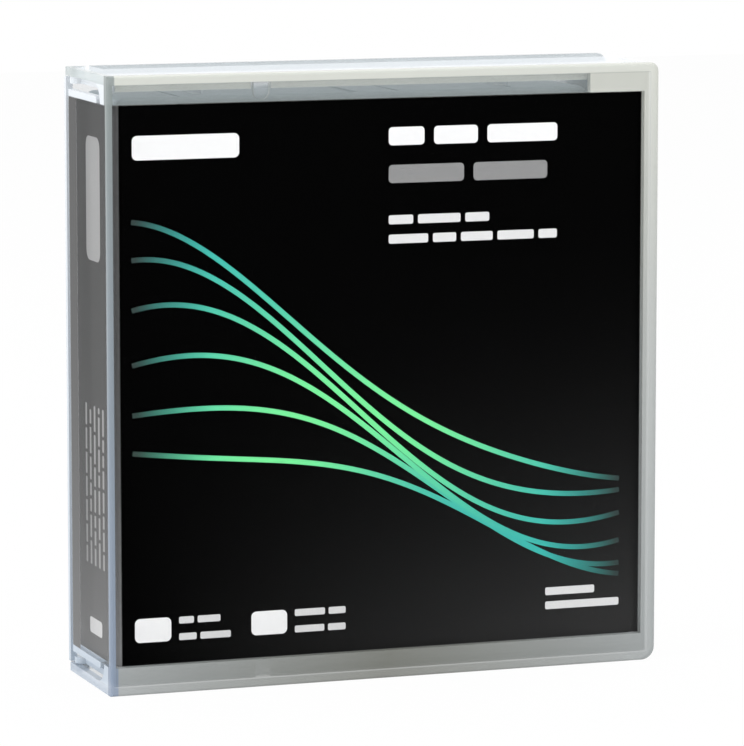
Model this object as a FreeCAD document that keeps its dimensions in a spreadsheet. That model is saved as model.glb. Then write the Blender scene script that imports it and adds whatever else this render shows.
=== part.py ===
"""A single-reel data tape cartridge standing in its clear hinged library case, with the folded insert card.

Axes: +X to the right along the front, +Y from the front pane to the back plate, +Z up. The origin is under
the middle of the case, on the surface that it stands on. The lid carries the spine on the left and turns on
two pins of the base near the left back corner. The cartridge stands inside with its label end down, its upper
shell to the front and its tape door on the right, near the top. Lengths are in millimetres.
"""
import FreeCAD, Part
import math
import os
import Sketcher

os.makedirs("parts", exist_ok=True)
doc = FreeCAD.newDocument("tape_cartridge")
sheet = doc.addObject("Spreadsheet::Sheet", "Sizes")
EDGE_TOLERANCE = 0.01
OVERRUN = 1.0  # how far cuts and joins run past the faces that they meet
nodes = []


class Size:
    """A length that carries its value and the spreadsheet formula that it comes from."""

    def __init__(self, formula, value):
        self.formula = formula
        self.value = value

    def __add__(self, other):
        other = as_size(other)
        return Size(f"({self.formula} + {other.formula})", self.value + other.value)

    def __sub__(self, other):
        other = as_size(other)
        return Size(f"({self.formula} - {other.formula})", self.value - other.value)

    def __mul__(self, other):
        other = as_size(other)
        return Size(f"({self.formula} * {other.formula})", self.value * other.value)

    def __truediv__(self, other):
        other = as_size(other)
        return Size(f"({self.formula} / {other.formula})", self.value / other.value)

    def __radd__(self, other):
        return as_size(other) + self

    def __rsub__(self, other):
        return as_size(other) - self

    def __rmul__(self, other):
        return as_size(other) * self

    def __neg__(self):
        return as_size(0) - self


def as_size(number):
    """A plain number as a Size; a Size stays as it is."""
    return number if isinstance(number, Size) else Size(repr(float(number)), float(number))


def cell(alias, number):
    """Write one driving dimension to the spreadsheet and return it."""
    row = cell.row
    cell.row = row + 1
    sheet.set(f"A{row}", alias)
    sheet.set(f"B{row}", str(number))
    sheet.setAlias(f"B{row}", alias)
    return Size(f"Sizes.{alias}", float(number))


cell.row = 1

# Cartridge outside
cart_width = cell("cart_width", 102.0)
cart_length = cell("cart_length", 105.4)
shell_wall = cell("shell_wall", 2.0)
side_wall = cell("side_wall", 1.6)
end_wall = cell("end_wall", 2.0)
shell_corner = cell("shell_corner", 2.0)
face_round = cell("face_round", 0.8)
notch_width = cell("notch_width", 9.6)
notch_depth = cell("notch_depth", 5.3)
sunk_depth = cell("sunk_depth", 0.4)
sunk_left = cell("sunk_left", 9.0)
sunk_right = cell("sunk_right", 12.0)
sunk_low = cell("sunk_low", 20.0)
sunk_high = cell("sunk_high", 12.0)
sunk_corner = cell("sunk_corner", 3.0)
grip_place = cell("grip_place", 9.0)
grip_pitch = cell("grip_pitch", 2.4)
grip_width = cell("grip_width", 1.1)
grip_depth = cell("grip_depth", 0.5)
grip_count = cell("grip_count", 6)
groove_depth = cell("groove_depth", 0.45)
groove_place_a = cell("groove_place_a", 12.2)
groove_place_b = cell("groove_place_b", 46.0)
groove_place_c = cell("groove_place_c", 54.6)
groove_step_place = cell("groove_step_place", 15.0)
groove_wide = cell("groove_wide", 1.6)
groove_thin = cell("groove_thin", 0.8)
label_depth = cell("label_depth", 0.4)
label_half = cell("label_half", 8.6)
label_margin = cell("label_margin", 5.0)
recess_radius = cell("recess_radius", 2.4)
recess_depth = cell("recess_depth", 1.2)
recess_drop = cell("recess_drop", 9.0)
recess_left = cell("recess_left", 12.0)
recess_right = cell("recess_right", 18.0)
guard_room = cell("guard_room", 0.6)
guard_thick = cell("guard_thick", 1.0)
guard_lane = cell("guard_lane", 0.72)
guard_middle = cell("guard_middle", 0.35)
guard_lane_low = cell("guard_lane_low", 21.0)
guard_corner_low = cell("guard_corner_low", 3.0)
guard_flank = cell("guard_flank", 15.0)

# Tape and reel
tape_width = cell("tape_width", 12.65)
tape_play = cell("tape_play", 0.175)
flange_thick = cell("flange_thick", 1.0)
upper_gap = cell("upper_gap", 1.0)
lower_gap = cell("lower_gap", 1.5)
reel_side_room = cell("reel_side_room", 2.8)
reel_end_room = cell("reel_end_room", 4.0)
reel_shift = cell("reel_shift", 0.8)
pack_inset = cell("pack_inset", 1.35)
hub_radius = cell("hub_radius", 22.0)
hub_bore = cell("hub_bore", 19.0)
floor_thick = cell("floor_thick", 1.8)
chuck_stand = cell("chuck_stand", 2.4)
ring_inner = cell("ring_inner", 14.6)
ring_outer = cell("ring_outer", 17.2)
brake_teeth = cell("brake_teeth", 24)
tooth_depth = cell("tooth_depth", 1.6)
tooth_engaged = cell("tooth_engaged", 1.2)
tooth_crest = cell("tooth_crest", 0.3)
tooth_gap_wide = cell("tooth_gap_wide", 3.1)
tooth_gap_narrow = cell("tooth_gap_narrow", 1.4)
chuck_inner = cell("chuck_inner", 13.2)
chuck_outer = cell("chuck_outer", 16.2)
chuck_teeth = cell("chuck_teeth", 30)
chuck_depth = cell("chuck_depth", 1.2)
chuck_gap_wide = cell("chuck_gap_wide", 1.8)
chuck_gap_narrow = cell("chuck_gap_narrow", 0.9)
spindle_bore = cell("spindle_bore", 2.2)
plate_bore = cell("plate_bore", 2.6)
plate_thick = cell("plate_thick", 0.8)
plate_room = cell("plate_room", 0.4)
spigot_wall = cell("spigot_wall", 1.0)
spigot_length = cell("spigot_length", 1.2)
leg_circle = cell("leg_circle", 10.8)
leg_radius = cell("leg_radius", 1.85)
running_play = cell("running_play", 0.1)
hub_window = cell("hub_window", 17.5)
hub_window_room = cell("hub_window_room", 0.3)
collar_wall = cell("collar_wall", 1.5)
collar_room = cell("collar_room", 0.3)
pack_fit = cell("pack_fit", 0.05)

# Brake
key_width = cell("key_width", 7.0)
key_play = cell("key_play", 0.1)
key_height = cell("key_height", 7.0)
brake_radius = cell("brake_radius", 17.6)
brake_disc = cell("brake_disc", 1.6)
brake_sleeve = cell("brake_sleeve", 6.2)
brake_sleeve_length = cell("brake_sleeve_length", 4.6)
brake_pad = cell("brake_pad", 4.0)
brake_pad_room = cell("brake_pad_room", 1.3)
brake_lift = cell("brake_lift", 1.8)
release_thick = cell("release_thick", 1.1)
release_centre = cell("release_centre", 4.6)
release_arm = cell("release_arm", 3.2)
release_foot = cell("release_foot", 0.4)
release_stand = cell("release_stand", 1.2)
spring_radius = cell("spring_radius", 7.6)
spring_wire = cell("spring_wire", 0.9)
spring_end_play = cell("spring_end_play", 0.05)
seat_wall = cell("seat_wall", 0.9)
seat_height = cell("seat_height", 0.8)
seat_room = cell("seat_room", 0.3)

# Tape door and leader pin
door_thick = cell("door_thick", 1.0)
door_skin = cell("door_skin", 1.0)
door_length = cell("door_length", 20.3)
door_travel = cell("door_travel", 17.8)
door_play = cell("door_play", 0.15)
door_lip = cell("door_lip", 1.3)
door_lip_inset = cell("door_lip_inset", 2.4)
door_edge_play = cell("door_edge_play", 0.3)
door_corner = cell("door_corner", 1.2)
door_end_room = cell("door_end_room", 0.3)
door_run_room = cell("door_run_room", 1.0)
mouth_edge = cell("mouth_edge", 0.6)
mouth_lap = cell("mouth_lap", 1.0)
rail_thick = cell("rail_thick", 0.6)
rail_height = cell("rail_height", 0.9)
door_spring_radius = cell("door_spring_radius", 0.6)
door_spring_wire = cell("door_spring_wire", 0.3)
door_spring_length = cell("door_spring_length", 43.4)
stop_thick = cell("stop_thick", 1.4)
stop_reach = cell("stop_reach", 0.9)
pin_shaft = cell("pin_shaft", 1.5)
pin_flange = cell("pin_flange", 3.0)
pin_inset = cell("pin_inset", 6.5)
pin_drop = cell("pin_drop", 14.2)
pin_end_play = cell("pin_end_play", 0.2)
pin_rim = cell("pin_rim", 0.8)
pin_taper = cell("pin_taper", 0.2)
pin_seat_depth = cell("pin_seat_depth", 1.0)
pin_seat_wall = cell("pin_seat_wall", 0.9)
pin_seat_play = cell("pin_seat_play", 0.15)
pin_seat_mouth = cell("pin_seat_mouth", 0.6)
clip_wall = cell("clip_wall", 0.75)
clip_mouth = cell("clip_mouth", 1.0)
clip_fit = cell("clip_fit", 0.05)
strip_thick = cell("strip_thick", 0.35)
strip_width = cell("strip_width", 3.0)
strip_place = cell("strip_place", 1.3)
arm_inset = cell("arm_inset", 1.3)
arm_wide = cell("arm_wide", 0.5)
arm_play = cell("arm_play", 0.3)
leader_gap = cell("leader_gap", 0.3)
leader_thick = cell("leader_thick", 0.2)

# Write-protect slider, memory chip and screws
switch_travel = cell("switch_travel", 3.5)
switch_width = cell("switch_width", 5.0)
switch_edge = cell("switch_edge", 9.6)
switch_room = cell("switch_room", 0.3)
switch_half = cell("switch_half", 3.0)
switch_plate = cell("switch_plate", 1.2)
switch_plate_half = cell("switch_plate_half", 4.4)
switch_play = cell("switch_play", 0.2)
switch_tail = cell("switch_tail", 1.6)
switch_head = cell("switch_head", 3.6)
ridge_pitch = cell("ridge_pitch", 1.25)
ridge_gap = cell("ridge_gap", 0.6)
ridge_depth = cell("ridge_depth", 0.5)
switch_rib = cell("switch_rib", 1.0)
switch_rib_tail = cell("switch_rib_tail", 3.0)
switch_rib_head = cell("switch_rib_head", 4.5)
chip_length = cell("chip_length", 15.0)
chip_rise = cell("chip_rise", 8.2)
chip_thick = cell("chip_thick", 0.8)
chip_place = cell("chip_place", 22.7)
screw_shank = cell("screw_shank", 1.0)
screw_head = cell("screw_head", 2.1)
screw_play = cell("screw_play", 0.06)
head_height = cell("head_height", 1.5)
head_set = cell("head_set", 0.4)
head_room = cell("head_room", 0.2)
pilot_skin = cell("pilot_skin", 1.6)
pilot_room = cell("pilot_room", 0.2)
slot_long = cell("slot_long", 2.6)
slot_wide = cell("slot_wide", 0.6)
slot_deep = cell("slot_deep", 0.8)
boss_radius = cell("boss_radius", 2.6)
boss_inset = cell("boss_inset", 4.8)

# Library case
pane = cell("pane", 1.3)
spine_wall = cell("spine_wall", 1.3)
lid_wall = cell("lid_wall", 1.6)
lid_gap = cell("lid_gap", 0.2)
lid_reach = cell("lid_reach", 18.0)
front_round = cell("front_round", 0.5)
window_set_back = cell("window_set_back", 1.1)
window_neck = cell("window_neck", 0.9)
window_bevel = cell("window_bevel", 0.5)
base_wall = cell("base_wall", 1.2)
back_plate = cell("back_plate", 1.2)
front_room = cell("front_room", 2.1)
rib_height = cell("rib_height", 1.9)
rib_thick = cell("rib_thick", 1.4)
rib_set_back = cell("rib_set_back", 1.5)
rail_spread = cell("rail_spread", 28.0)
rail_end_room = cell("rail_end_room", 6.0)
foot_left = cell("foot_left", 16.0)
foot_right = cell("foot_right", 20.0)
stop_right = cell("stop_right", 26.0)
stop_play = cell("stop_play", 0.3)
fin_place = cell("fin_place", 2.1)
fin_pitch = cell("fin_pitch", 1.3)
fin_thick = cell("fin_thick", 0.6)
fin_play = cell("fin_play", 0.5)
end_room = cell("end_room", 1.3)
right_room = cell("right_room", 0.3)
left_room = cell("left_room", 1.4)
wall_front_room = cell("wall_front_room", 0.3)
card_room = cell("card_room", 0.35)
corner_low = cell("corner_low", 2.6)
corner_high = cell("corner_high", 1.6)
hinge_inset = cell("hinge_inset", 1.8)
hinge_pin = cell("hinge_pin", 1.1)
hinge_play = cell("hinge_play", 0.08)
ear_radius = cell("ear_radius", 2.8)
ear_room = cell("ear_room", 0.25)
pin_boss_wall = cell("pin_boss_wall", 0.4)
pin_web = cell("pin_web", 2.0)
pin_end_set = cell("pin_end_set", 0.3)
lug_place = cell("lug_place", 29.8)
lug_radius = cell("lug_radius", 1.55)
lug_thick = cell("lug_thick", 1.0)
lug_play = cell("lug_play", 0.3)
lug_room = cell("lug_room", 0.35)
lug_notch_room = cell("lug_notch_room", 0.4)
card_thick = cell("card_thick", 0.35)
card_inset = cell("card_inset", 5.35)
card_right_margin = cell("card_right_margin", 3.05)

# Places that follow from the sizes above
reel_slot = tape_width + 2 * tape_play
cart_thick = 2 * shell_wall + upper_gap + lower_gap + 2 * flange_thick + reel_slot
case_width = spine_wall + left_room + cart_width + right_room + base_wall + lid_gap + lid_wall
case_depth = pane + front_room + cart_thick + rib_height + back_plate
shelf = lid_wall + lid_gap + base_wall
case_height = 2 * (shelf + end_room) + cart_length
left = -(case_width / 2)
right = case_width / 2
front = -(case_depth / 2)
back = case_depth / 2
hinge_x = left + hinge_inset
hinge_y = back - back_plate - hinge_play - hinge_inset
cart_left = left + spine_wall + left_room
cart_right = cart_left + cart_width
cart_low = shelf + end_room
cart_high = cart_low + cart_length
cart_front = front + pane + front_room
cart_back = cart_front + cart_thick
inner_front = cart_front + shell_wall
inner_back = cart_back - shell_wall
parting = (cart_front + cart_back) / 2
reel_x = (cart_left + cart_right) / 2 - reel_shift
flange_radius = cart_width / 2 - reel_side_room
pack_radius = flange_radius - pack_inset
reel_z = cart_low + flange_radius + reel_end_room
slot_front = inner_front + upper_gap + flange_thick
slot_back = slot_front + reel_slot
floor_front = slot_back - floor_thick
chuck_face = slot_back + chuck_stand
hub_tips = floor_front - tooth_depth - tooth_crest
brake_tips = hub_tips + tooth_engaged
brake_face_back = brake_tips - tooth_depth - running_play
brake_face_front = brake_face_back - brake_disc
pin_x = cart_right - pin_inset
pin_z = cart_high - pin_drop
door_high = cart_high - notch_depth - end_wall - door_end_room
door_low = door_high - door_length
door_outer = cart_right - door_skin - door_play
door_inner = door_outer - door_thick
wall_left = left + spine_wall + card_thick + card_room


def bind(thing, field, size):
    """Tie one property of an object to the spreadsheet."""
    thing.setExpression(field, as_size(size).formula)


def new_body(label, at=None):
    """A PartDesign body for one sub-part, placed where its own frame's origin goes."""
    body = doc.addObject("PartDesign::Body", label)
    body.Label = label
    if at:
        for axis, size in zip("xyz", at):
            bind(body, f"Placement.Base.{axis}", size)
    nodes.append(body)
    return body


def turn_half_pitch(body):
    """Turn a body about its Y axis by half a pitch of the brake's teeth, so that the two rings mesh."""
    body.Placement.Rotation = FreeCAD.Rotation(FreeCAD.Vector(0, 1, 0), 180 / brake_teeth.value)
    bind(body, "Placement.Rotation.Angle", as_size(180) / brake_teeth)


def origin_feature(body, role):
    """One of the body's own origin planes or axes."""
    return next(f for f in body.Origin.OriginFeatures if f.Role == role)


def new_sketch(body, name, plane, level):
    """A sketch on one of the body's origin planes, moved along that plane's normal to its level."""
    sketch = body.newObject("Sketcher::SketchObject", name)
    sketch.AttachmentSupport = [(origin_feature(body, plane), "")]
    sketch.MapMode = "FlatFace"
    bind(sketch, "AttachmentOffset.Base.z", level)
    return sketch


def pin_point(sketch, index, end, x, y):
    """Fix one end of a sketch line by two dimensions from the sketch's origin."""
    for kind, size in (("DistanceX", x), ("DistanceY", y)):
        size = as_size(size)
        number = sketch.addConstraint(Sketcher.Constraint(kind, -1, 1, index, end, size.value))
        bind(sketch, f"Constraints[{number}]", size)


def draw_outline(sketch, points):
    """A closed outline of straight lines through the given points."""
    values = [FreeCAD.Vector(as_size(x).value, as_size(y).value, 0) for x, y in points]
    for i, start in enumerate(values):
        sketch.addGeometry(Part.LineSegment(start, values[(i + 1) % len(values)]), False)
    for i, (x, y) in enumerate(points):
        sketch.addConstraint(Sketcher.Constraint("Coincident", i, 2, (i + 1) % len(points), 1))
        pin_point(sketch, i, 1, x, y)


def draw_circle(sketch, x, y, radius):
    """A circle fixed by its centre and its radius."""
    radius = as_size(radius)
    centre = FreeCAD.Vector(as_size(x).value, as_size(y).value, 0)
    circle = Part.Circle(centre, FreeCAD.Vector(0, 0, 1), radius.value)
    index = sketch.addGeometry(circle, False)
    pin_point(sketch, index, 3, x, y)
    number = sketch.addConstraint(Sketcher.Constraint("Radius", index, radius.value))
    bind(sketch, f"Constraints[{number}]", radius)


def box_points(x0, x1, y0, y1):
    """The four corners of a rectangle."""
    return [(x0, y0), (x1, y0), (x1, y1), (x0, y1)]


# The direction that each origin plane's normal takes along its axis: the XZ plane looks along -Y.
PLANE_SIGN = {"XY_Plane": 1, "XZ_Plane": -1, "YZ_Plane": 1}


def prism(body, name, plane, low, high, outline=None, circle=None, cut=False):
    """Add or cut the prism of an outline or a circle between two levels along the plane's axis."""
    low, high = as_size(low), as_size(high)
    upward = PLANE_SIGN[plane] > 0
    start = high if upward == cut else low
    sketch = new_sketch(body, name + "_sketch", plane, start if upward else -start)
    if circle:
        draw_circle(sketch, *circle)
    else:
        draw_outline(sketch, outline)
    kind = "PartDesign::Pocket" if cut else "PartDesign::Pad"
    feature = body.newObject(kind, name)
    feature.Profile = sketch
    bind(feature, "Length", high - low)
    sketch.Visibility = False
    return feature


def cut_prism(body, name, plane, low, high, outline=None, circle=None):
    """Cut a prism, and make sure that it takes material away."""
    doc.recompute()
    before = body.Shape.Volume
    feature = prism(body, name, plane, low, high, outline, circle, cut=True)
    doc.recompute()
    if not body.Shape.Volume < before - EDGE_TOLERANCE:
        raise ValueError(f"{body.Label}: {name} cuts nothing")
    return feature


def spun(body, name, points):
    """Turn a profile of radius and Y about the body's Y axis."""
    sketch = new_sketch(body, name + "_sketch", "XY_Plane", 0)
    draw_outline(sketch, points)
    feature = body.newObject("PartDesign::Revolution", name)
    feature.Profile = sketch
    feature.ReferenceAxis = (sketch, ["V_Axis"])
    feature.Angle = 360
    return feature


def around(body, name, feature, count):
    """Repeat a feature round the body's Y axis."""
    pattern = body.newObject("PartDesign::PolarPattern", name)
    pattern.Originals = [feature]
    pattern.Axis = (origin_feature(body, "Y_Axis"), [""])
    pattern.Angle = 360
    bind(pattern, "Occurrences", count)
    body.Tip = pattern
    return pattern


def round_edges(body, name, radius, chosen, kind="Fillet"):
    """Round or bevel the edges of the body that the test picks."""
    doc.recompute()
    tip = body.Tip
    edges = [f"Edge{i + 1}" for i, edge in enumerate(tip.Shape.Edges) if chosen(edge)]
    if not edges:
        raise ValueError(f"{body.Label}: {name} finds no edge")
    feature = body.newObject("PartDesign::" + kind, name)
    feature.Base = (tip, edges)
    bind(feature, "Radius" if kind == "Fillet" else "Size", radius)
    return feature


def near(a, b):
    """Whether two numbers are the same to the edge tolerance."""
    return abs(a - as_size(b).value) < EDGE_TOLERANCE


def edge_along(axis, **at):
    """A test for straight edges along an axis that pass through the given places on the other axes."""

    def test(edge):
        box = edge.BoundBox
        spans = {"x": (box.XMin, box.XMax), "y": (box.YMin, box.YMax), "z": (box.ZMin, box.ZMax)}
        still = [a for a in "xyz" if a != axis and spans[a][1] - spans[a][0] < EDGE_TOLERANCE]
        if len(still) < 2 or spans[axis][1] - spans[axis][0] < EDGE_TOLERANCE:
            return False
        return all(near(spans[a][0], place) for a, place in at.items())

    return test


def edge_in_plane(axis, place):
    """A test for edges that lie wholly in one plane across an axis."""

    def test(edge):
        box = edge.BoundBox
        low, high = {"x": (box.XMin, box.XMax), "y": (box.YMin, box.YMax), "z": (box.ZMin, box.ZMax)}[axis]
        return near(low, place) and near(high, place)

    return test


def either(*tests):
    """A test that passes where any of the given tests does."""
    return lambda edge: any(test(edge) for test in tests)


def crown_gap(body, name, tips, root, ring, widths):
    """One tapered gap between two face teeth, cut across the ring, widest at the teeth's tips."""
    wide, narrow = widths[0] / 2, widths[1] / 2
    profile = [(tips, -wide), (tips, wide), (root, narrow), (root, -narrow)]
    inner, outer = ring[0] - OVERRUN, ring[1] + OVERRUN
    return cut_prism(body, name, "YZ_Plane", inner, outer, outline=profile)


# ---------------------------------------------------------------------------------------------------------
# Library case
# ---------------------------------------------------------------------------------------------------------


def round_right_corners(body):
    """Round the case's two corners on the right; the low one is the rounder."""
    round_edges(body, "corner_below", corner_low, edge_along("y", x=right, z=0))
    round_edges(body, "corner_above", corner_high, edge_along("y", x=right, z=case_height))


def make_case_lid():
    """The lid: front pane, spine, four low walls, hinge ears and the lugs that hold the card."""
    body = new_body("case_lid")
    reach = front + lid_reach
    prism(body, "block", "XZ_Plane", front, reach, outline=box_points(left, right, 0, case_height))
    round_right_corners(body)
    spine_outline = box_points(left, left + spine_wall, reach - OVERRUN, hinge_y)
    prism(body, "spine_back", "XY_Plane", 0, case_height, outline=spine_outline)
    prism(body, "spine_nose", "XY_Plane", 0, case_height, circle=(hinge_x, hinge_y, hinge_inset))
    hollow = box_points(left + spine_wall, right - lid_wall, lid_wall, case_height - lid_wall)
    cut_prism(body, "hollow", "XZ_Plane", front + pane, back, outline=hollow)
    for name, floor, ceiling in (("low", 0, lid_wall), ("high", case_height - lid_wall, case_height)):
        add_ear(body, name, floor, ceiling)
    for name, flip in (("low", True), ("high", False)):
        cut_spine_window(body, name, flip)
        add_card_lug(body, name, flip)
    front_edges = edge_in_plane("y", front)
    spine_front = edge_along("z", x=left, y=front)
    round_edges(body, "front_round", front_round, either(front_edges, spine_front))
    return body


def add_ear(body, name, floor, ceiling):
    """A hinge ear: the end wall's tongue that reaches back to the pin, rounded about it, with its hole."""
    neck = box_points(left, hinge_x + ear_radius, front + lid_reach - OVERRUN, hinge_y)
    prism(body, f"ear_neck_{name}", "XY_Plane", floor, ceiling, outline=neck)
    prism(body, f"ear_round_{name}", "XY_Plane", floor, ceiling, circle=(hinge_x, hinge_y, ear_radius))
    spare = box_points(left - ear_radius, left, hinge_y - ear_radius, hinge_y + ear_radius)
    cut_prism(body, f"ear_trim_{name}", "XY_Plane", floor, ceiling, outline=spare)
    hole = (hinge_x, hinge_y, hinge_pin + hinge_play)
    cut_prism(body, f"ear_hole_{name}", "XY_Plane", floor, ceiling, circle=hole)


def cut_spine_window(body, name, flip):
    """The window at one end of the spine, where the base's wall reaches the hinge pin.

    Its front upper corner is a quarter circle from the lid's end wall down to the level of the card's edge.
    """
    sweep = card_inset - lid_wall
    rail_top = card_inset - end_room

    def level(drop):
        return as_size(drop) if flip else case_height - drop

    sketch = new_sketch(body, f"window_{name}_sketch", "YZ_Plane", left + spine_wall)
    corner_y = front + front_room + pane + sweep + window_set_back
    points = [
        (corner_y, level(lid_wall)),
        (back, level(lid_wall)),
        (back, level(rail_top)),
        (corner_y - window_neck, level(rail_top)),
        (corner_y - window_neck - window_bevel, level(rail_top + window_bevel)),
        (corner_y - window_neck - window_bevel, level(card_inset)),
        (corner_y - sweep, level(card_inset)),
    ]
    values = [FreeCAD.Vector(as_size(y).value, as_size(z).value, 0) for y, z in points]
    for start, end in zip(values, values[1:]):
        sketch.addGeometry(Part.LineSegment(start, end), False)
    last = len(points) - 2
    centre = FreeCAD.Vector(as_size(corner_y).value, level(card_inset).value, 0)
    circle = Part.Circle(centre, FreeCAD.Vector(0, 0, 1), sweep.value)
    start_angle = math.pi if flip else math.pi / 2
    arc = sketch.addGeometry(Part.ArcOfCircle(circle, start_angle, start_angle + math.pi / 2), False)
    for i in range(last):
        sketch.addConstraint(Sketcher.Constraint("Coincident", i, 2, i + 1, 1))
    for i, (y, z) in enumerate(points[:-1]):
        pin_point(sketch, i, 1, y, z)
    pin_point(sketch, last, 2, *points[-1])
    first_end, second_end = (1, 2) if flip else (2, 1)
    sketch.addConstraint(Sketcher.Constraint("Coincident", last, 2, arc, first_end))
    sketch.addConstraint(Sketcher.Constraint("Coincident", arc, second_end, 0, 1))
    number = sketch.addConstraint(Sketcher.Constraint("Radius", arc, sweep.value))
    bind(sketch, f"Constraints[{number}]", sweep)
    pocket = body.newObject("PartDesign::Pocket", f"window_{name}")
    pocket.Profile = sketch
    bind(pocket, "Length", spine_wall + OVERRUN)
    doc.recompute()


def add_card_lug(body, name, flip):
    """A round-ended lug on the pane's inner face that keeps the card from sliding up or down."""
    x = left + lug_place
    tip = card_inset - lug_play - lug_radius
    centre_z = tip if flip else case_height - tip
    wall_z = lid_wall / 2 if flip else case_height - lid_wall / 2
    low, high = (wall_z, centre_z) if flip else (centre_z, wall_z)
    near_y, far_y = front + pane, front + pane + lug_thick
    stem = box_points(x - lug_radius, x + lug_radius, low, high)
    prism(body, f"lug_stem_{name}", "XZ_Plane", near_y, far_y, outline=stem)
    prism(body, f"lug_round_{name}", "XZ_Plane", near_y, far_y, circle=(x, centre_z, lug_radius))


def make_case_base():
    """The base: back plate, three walls that stand inside the lid, hinge pins, ribs and corner locator."""
    body = new_body("case_base")
    plate_front = back - back_plate
    wall_front = front + pane + wall_front_room
    wall_low = lid_wall + lid_gap
    wall_high = case_height - wall_low
    wall_right = right - wall_low
    plate = box_points(left, right, 0, case_height)
    prism(body, "plate", "XZ_Plane", plate_front, back, outline=plate)
    round_right_corners(body)
    walls = box_points(wall_left, wall_right, wall_low, wall_high)
    prism(body, "walls", "XZ_Plane", wall_front, plate_front + back_plate / 2, outline=walls)
    inner_right = wall_right - base_wall
    hollow = box_points(left - OVERRUN, inner_right, shelf, case_height - shelf)
    cut_prism(body, "hollow", "XZ_Plane", wall_front, plate_front, outline=hollow)
    corners = [edge_along("y", x=wall_right, z=z) for z in (wall_low, wall_high)]
    round_edges(body, "wall_corner", base_wall / 2, either(*corners))
    for name, flip in (("low", True), ("high", False)):
        add_hinge_pin(body, name, flip, plate_front)
        cut_lug_notch(body, name, flip, wall_front)
    add_base_ribs(body, plate_front)
    return body


def span(flip, near_edge, far_edge):
    """The Z levels of something at a distance from the low end, or the same from the high end."""
    if flip:
        return as_size(near_edge), as_size(far_edge)
    return case_height - far_edge, case_height - near_edge


def add_hinge_pin(body, name, flip, plate_front):
    """The corner notch for the lid's ear, the boss at the wall's end and the pin that stands out of it."""
    low, high = span(flip, -OVERRUN, lid_wall + lid_gap)
    notch = box_points(left - OVERRUN, hinge_x + ear_radius + ear_room, plate_front - OVERRUN, back + OVERRUN)
    cut_prism(body, f"ear_notch_{name}", "XY_Plane", low, high, outline=notch)
    low, high = span(flip, lid_wall + lid_gap, shelf)
    boss = hinge_pin + pin_boss_wall
    web = box_points(hinge_x, wall_left + pin_web, hinge_y - boss, hinge_y + boss)
    prism(body, f"pin_web_{name}", "XY_Plane", low, high, outline=web)
    prism(body, f"pin_boss_{name}", "XY_Plane", low, high, circle=(hinge_x, hinge_y, boss))
    low, high = span(flip, pin_end_set, shelf - base_wall / 2)
    prism(body, f"pin_{name}", "XY_Plane", low, high, circle=(hinge_x, hinge_y, hinge_pin))


def cut_lug_notch(body, name, flip, wall_front):
    """The notch in the wall's front edge that the lid's card lug stands in."""
    x = left + lug_place
    half = lug_radius + lug_room
    low, high = span(flip, lid_wall, shelf + base_wall / 2)
    notch = box_points(x - half, x + half, wall_front - OVERRUN, front + pane + lug_thick + lug_notch_room)
    cut_prism(body, f"lug_notch_{name}", "XY_Plane", low, high, outline=notch)


def add_base_ribs(body, plate_front):
    """Ribs that the cartridge lies and stands on, and three thin ribs that fill its corner notch."""
    rib_front = cart_front + rib_set_back
    rib_back = plate_front + back_plate / 2
    half = rib_thick / 2
    for name, x in (("left", reel_x - rail_spread), ("right", reel_x + rail_spread)):
        rail = box_points(x - half, x + half, shelf + rail_end_room, case_height - shelf - rail_end_room)
        prism(body, f"rail_{name}", "XZ_Plane", cart_back, rib_back, outline=rail)
    for name, x in (("a", cart_left + foot_left), ("b", reel_x), ("c", cart_right - foot_right)):
        foot = box_points(x - half, x + half, shelf - base_wall / 2, cart_low)
        prism(body, f"foot_{name}", "XZ_Plane", rib_front, rib_back, outline=foot)
    ceiling = case_height - shelf + base_wall / 2
    for name, x in (("a", cart_left + foot_left), ("c", cart_right - stop_right)):
        stop = box_points(x - half, x + half, cart_high + stop_play, ceiling)
        prism(body, f"stop_{name}", "XZ_Plane", rib_front, rib_back, outline=stop)
    for i in range(3):
        x = cart_right - notch_width + fin_place + i * fin_pitch
        fin = box_points(x - fin_thick / 2, x + fin_thick / 2, cart_high - notch_depth + fin_play, ceiling)
        prism(body, f"locator_{i + 1}", "XZ_Plane", rib_front, rib_back, outline=fin)


def make_insert_card():
    """The printed card, folded once, flat against the inside of the pane and of the spine."""
    body = new_body("insert_card")
    x0, y0 = left + spine_wall, front + pane
    x1, y1 = x0 + card_thick, y0 + card_thick
    card_right = right - card_right_margin
    card_back = hinge_y
    outline = [(x0, y0), (card_right, y0), (card_right, y1), (x1, y1), (x1, card_back), (x0, card_back)]
    prism(body, "card", "XY_Plane", card_inset, case_height - card_inset, outline=outline)
    round_edges(body, "fold", card_thick * 0.8, edge_along("z", x=x0, y=y0))
    return body


# ---------------------------------------------------------------------------------------------------------
# Cartridge shells
# ---------------------------------------------------------------------------------------------------------


def shell_outline(inset_side, inset_end):
    """The cartridge's outline seen from the front, with the stepped corner at the upper right."""
    x0, x1 = cart_left + inset_side, cart_right - inset_side
    z0, z1 = cart_low + inset_end, cart_high - inset_end
    step_x, step_z = cart_right - notch_width - inset_side, cart_high - notch_depth - inset_end
    return [(x0, z0), (x1, z0), (x1, step_z), (step_x, step_z), (step_x, z1), (x0, z1)]


def screw_places():
    """The four corner screws; the one beside the stepped corner stands further in."""
    low, high = cart_low + boss_inset, cart_high - boss_inset
    near_left, near_right = cart_left + boss_inset, cart_right - boss_inset
    return [(near_left, low), (near_right, low), (near_left, high), (near_right - notch_width, high)]


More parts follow.
